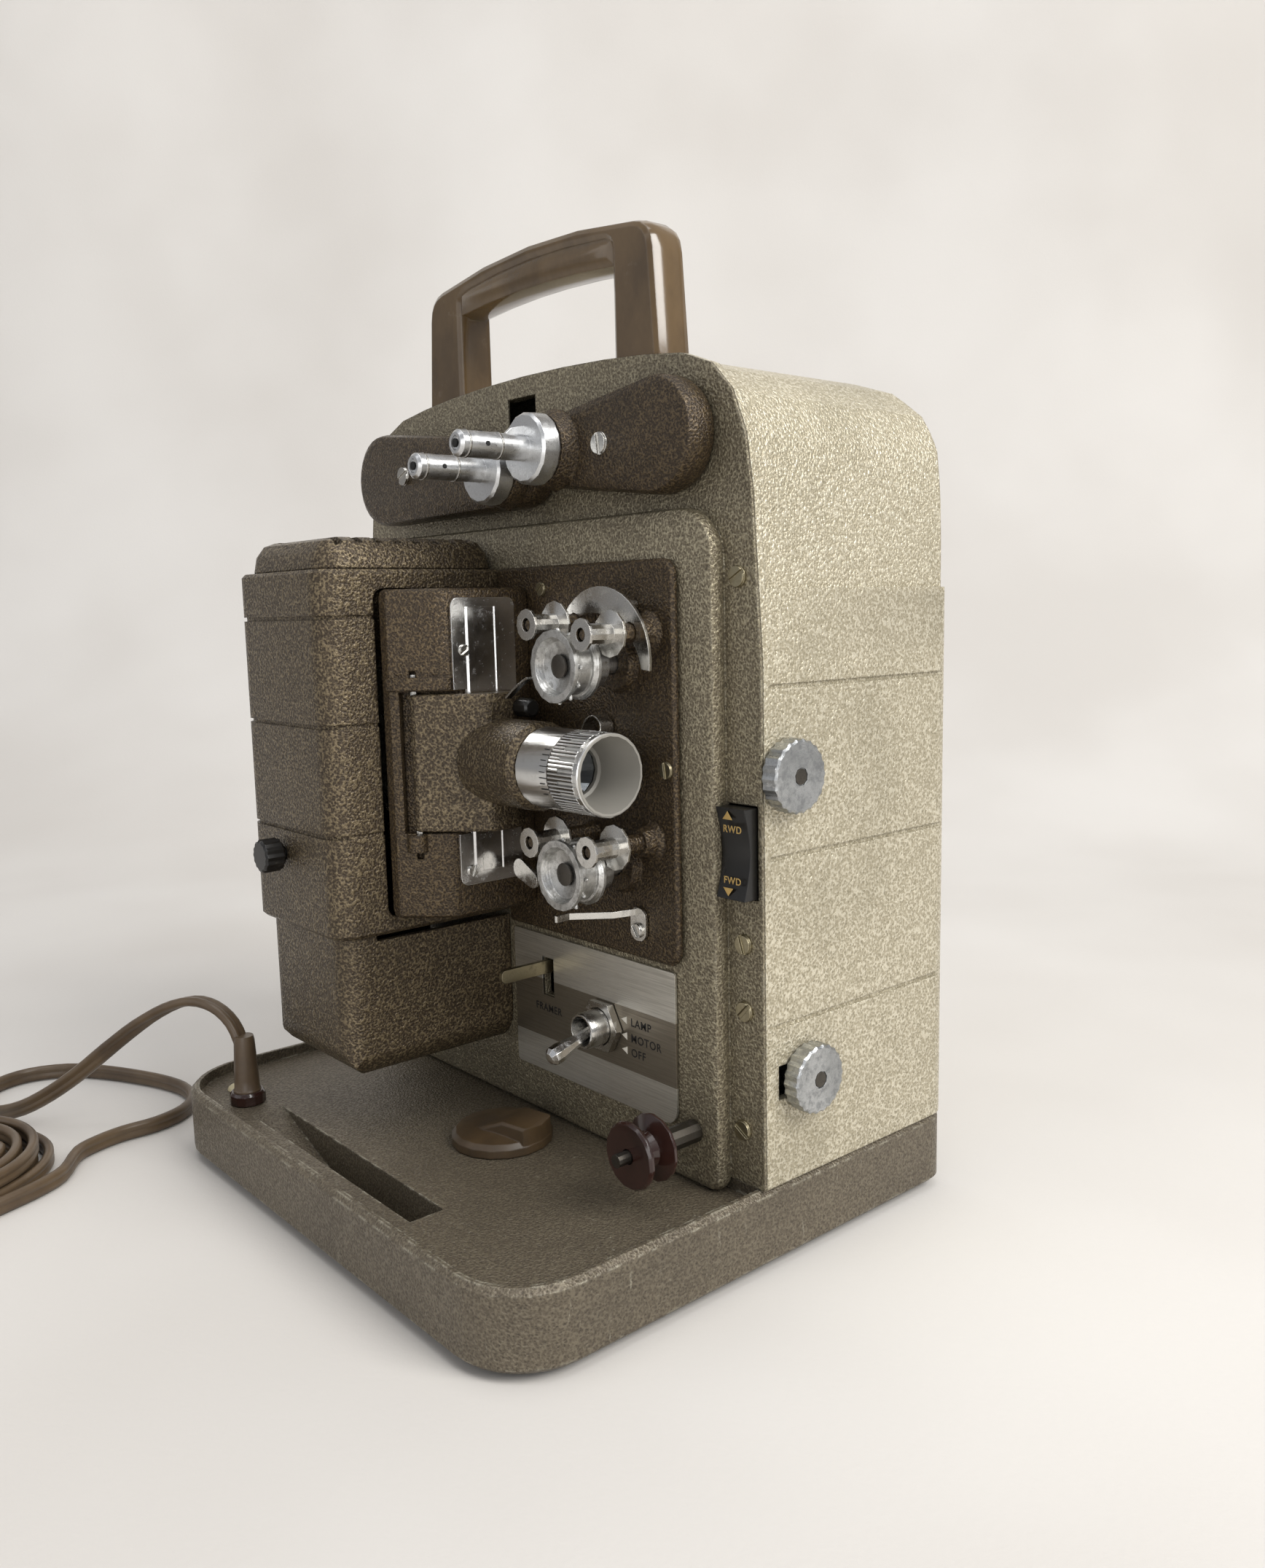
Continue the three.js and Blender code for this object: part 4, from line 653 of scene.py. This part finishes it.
def film_path_parts():
    clip = [(-63, -13, 159.5), (-60.5, -13, 163.2), (-57, -13, 164.6), (-54, -13, 163),
            (-53.4, -13, 160.2), (-55.2, -13, 158.4), (-57.2, -13, 159.6)]
    ribbon("barrel_spring_clip", clip, (0, 1, 0), 5.0, 0.5, "steel", "chassis")
    lever = [(-79.6, -30.6, 170.2), (-75, -30.8, 173), (-69.5, -31.5, 175.6), (-66.2, -31.8, 176.8)]
    ribbon("latch_release_strip", lever, (0, 1, 0), 2.2, 0.6, "steel", "gate_latch")
    for name, (x, z) in SPROCKET_AXES.items():
        bm = bmesh.new()
        y = front_of(f"{name}_sprocket")
        profile = [(0, 0.05), (2.1, 0.05), (2.1, -0.5), (3.3, -0.5), (3.5, 0.3), (2.6, 0.6), (0, 0.35)]
        lathe(bm, profile, placed((x, y + 2.4, z), FRONT), 24)
        piece(f"{name}_sprocket_shaft_end", bm, "dark_steel", f"{name}_sprocket")


def spindle_parts():
    for name, (x, z) in (("supply", (-75.6, 245.6)), ("take_up", (-99.4, 241.4))):
        body = f"{name}_spindle"
        tip = front_of(body)
        # painted shade: dark discs stand in for the centre hole and the two pin holes, drawn proud of the
        # surface instead of cut
        bm = bmesh.new()
        stub(bm, 1.25, 0.12, 0.5, placed((x, tip, z), FRONT), 16)
        piece(f"{body}_centre_hole_shade", bm, "hole_shade", body)
        bm = bmesh.new()
        stub(bm, 0.75, 0.1, 1, placed((x, tip + 9, z + 3.94), UP), 12)
        stub(bm, 0.75, 0.1, 1, placed((x + 3.94, tip + 9, z), RIGHT), 12)
        piece(f"{body}_pin_hole_shades", bm, "hole_shade", body)
        bm = bmesh.new()
        band = [(3.9, -0.3), (4.12, -0.3), (4.12, 0.3), (3.9, 0.3)]
        for step in (3.2, 14.5):
            lathe(bm, band, placed((x, tip + step, z), FRONT), 32)
        piece(f"{body}_rings", bm, "steel", body)


def tray_button():
    bm = bmesh.new()
    profile = [(0, -0.6), (3.6, -0.6), (3.6, 0.2), (3.1, 1.1), (2.1, 1.7), (0.9, 1.95), (0, 2.0)]
    lathe(bm, profile, placed((-199, -76.5, 22), UP), 32)
    piece("tray_button", bm, "cream", "chassis")


def knob_faces():
    profile = [(0, -0.6), (2.3, -0.6), (2.3, -0.05), (2.0, 0.0), (0, 0.0)]
    for name, (y, z) in KNOB_AXES.items():
        body = f"{name}_knob"
        face = (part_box(body)[1][0] - SHIFT.x) / MM
        bm = bmesh.new()
        lathe(bm, profile, placed((face, y, z), RIGHT), 28)
        piece(f"{body}_shaft_end", bm, "dark_steel", body)


def triangle(name, x, y, z, size, body, look, up=0):
    bm = bmesh.new()
    shape = [(-size, 0), (size * 0.6, size * 0.75), (size * 0.6, -size * 0.75)]
    if up:
        shape = [(-size * 0.9, -size * 0.5 * up), (size * 0.9, -size * 0.5 * up), (0, size * 0.6 * up)]
    prism(bm, shape, -0.03, 0.06, 0.02, Matrix.Translation(at(x, y, z)) @ Matrix(
        ((1, 0, 0), (0, 0, -1), (0, 1, 0))).to_4x4() @ Matrix.Scale(MM, 4))
    piece(name, bm, look, body)


def labels():
    y = front_of("nameplate") - 0.02
    label("label_framer", "FRAMER", (-101.4, y, 60.6), 3.7, "chassis")
    for words, z in (("LAMP", 66.1), ("MOTOR", 60.9), ("OFF", 56.2)):
        label(f"label_{words.lower()}", words, (-51, y, z), 3.7, "chassis")
        triangle(f"mark_{words.lower()}", -53.8, y, z + 1.4, 1.7, "chassis", "white_ink")
    front = front_of("direction_rocker") - 0.03
    label("label_reverse", "RWD", (-10.2, front, 133.3), 2.9, "direction_rocker", "gilt")
    label("label_forward", "FWD", (-10.2, front, 118.4), 2.9, "direction_rocker", "gilt")
    triangle("mark_reverse", -8.4, front, 138.0, 2.2, "direction_rocker", "gilt", 1)
    triangle("mark_forward", -8.4, front, 116.0, 2.2, "direction_rocker", "gilt", -1)


def focus_scale():
    """Engraved ticks round the front of the focusing ring."""
    bm = bmesh.new()
    for i in range(9):
        turn = math.radians(-118 + 8 * i)
        long = 3.4 if i % 2 else 2.2
        radius = 12.42
        spot = Vector((-49.5 + long / 2, -29.5 + radius * math.sin(turn), 149.9 + radius * math.cos(turn)))
        matrix = Matrix.Translation(at(*spot)) @ Matrix.Rotation(-turn, 4, "X") @ Matrix.Scale(MM, 4)
        box = [(-long / 2, -0.12), (long / 2, -0.12), (long / 2, 0.12), (-long / 2, 0.12)]
        prism(bm, box, -0.1, 0.06, 0.02, matrix)
    piece("focus_ticks", bm, "ink", "lens")


screws()
film_path_parts()
spindle_parts()
tray_button()
knob_faces()
labels()
focus_scale()


# ---------- surroundings ----------

def backdrop():
    """Pale sheet: a floor that sweeps up into a softly folded wall."""
    ahead = Vector((-0.759, 0.651, 0))
    side = Vector((0.651, 0.759, 0))
    bm = bmesh.new()
    profile = [(-3.2 + 0.2 * i, 0.0) for i in range(10)]
    profile += [(-1.2 + 0.1 * i, 0.0) for i in range(17)]
    profile += [(0.45 + 0.55 * math.sin(math.radians(a)), 0.55 - 0.55 * math.cos(math.radians(a)))
                for a in range(5, 91, 5)]
    profile += [(1.0, 0.55 + 0.12 * i) for i in range(1, 14)]
    columns = [-5.2 + 0.08 * i for i in range(131)]
    grid = []
    for s, h in profile:
        row = []
        for u in columns:
            lift = min(1.0, h / 0.7)
            fold = 0.030 * math.sin(u * 4.1 + 0.8 + h * 0.9) + 0.014 * math.sin(u * 9.7 - h * 1.7)
            row.append(bm.verts.new(side * u + ahead * (s + fold * lift) + Vector((0, 0, h))))
        grid.append(row)
    for a, b in zip(grid, grid[1:]):
        for i in range(len(columns) - 1):
            bm.faces.new([a[i], a[i + 1], b[i + 1], b[i]])
    mesh = bpy.data.meshes.new("backdrop")
    bm.to_mesh(mesh)
    bm.free()
    mesh.materials.append(paper_look())
    mesh.shade_smooth()
    obj = bpy.data.objects.new("backdrop", mesh)
    bpy.context.collection.objects.link(obj)


def area(name, place, target, size, power, colour=(1, 1, 1)):
    data = bpy.data.lights.new(name, "AREA")
    data.size = size
    data.energy = power
    data.color = colour
    obj = bpy.data.objects.new(name, data)
    bpy.context.collection.objects.link(obj)
    aim = (Vector(target) - Vector(place)).to_track_quat("-Z", "Y")
    obj.matrix_world = Matrix.Translation(place) @ aim.to_matrix().to_4x4()


def lights():
    area("window", (1.5, 0.35, 1.35), (0, 0, 0.15), 1.1, 43, (1.0, 0.985, 0.955))
    area("overhead", (0.1, -0.2, 1.9), (0, 0, 0.1), 1.4, 14, (1.0, 0.99, 0.98))
    area("front_fill", (-0.5, -1.6, 0.9), (0, 0, 0.15), 1.3, 4, (0.99, 0.99, 1.0))
    area("front_low", (1.1, -1.2, 0.35), (0, 0, 0.15), 0.9, 7, (1.0, 0.99, 0.97))
    world = bpy.data.worlds.new("studio")
    bpy.context.scene.world = world
    world.use_nodes = True
    back = world.node_tree.nodes["Background"]
    back.inputs[0].default_value = (0.93, 0.95, 1.0, 1)
    back.inputs[1].default_value = 0.42


def colour_management():
    settings = bpy.context.scene.view_settings
    settings.view_transform = "Standard"
    settings.exposure = -0.15


backdrop()
lights()
colour_management()
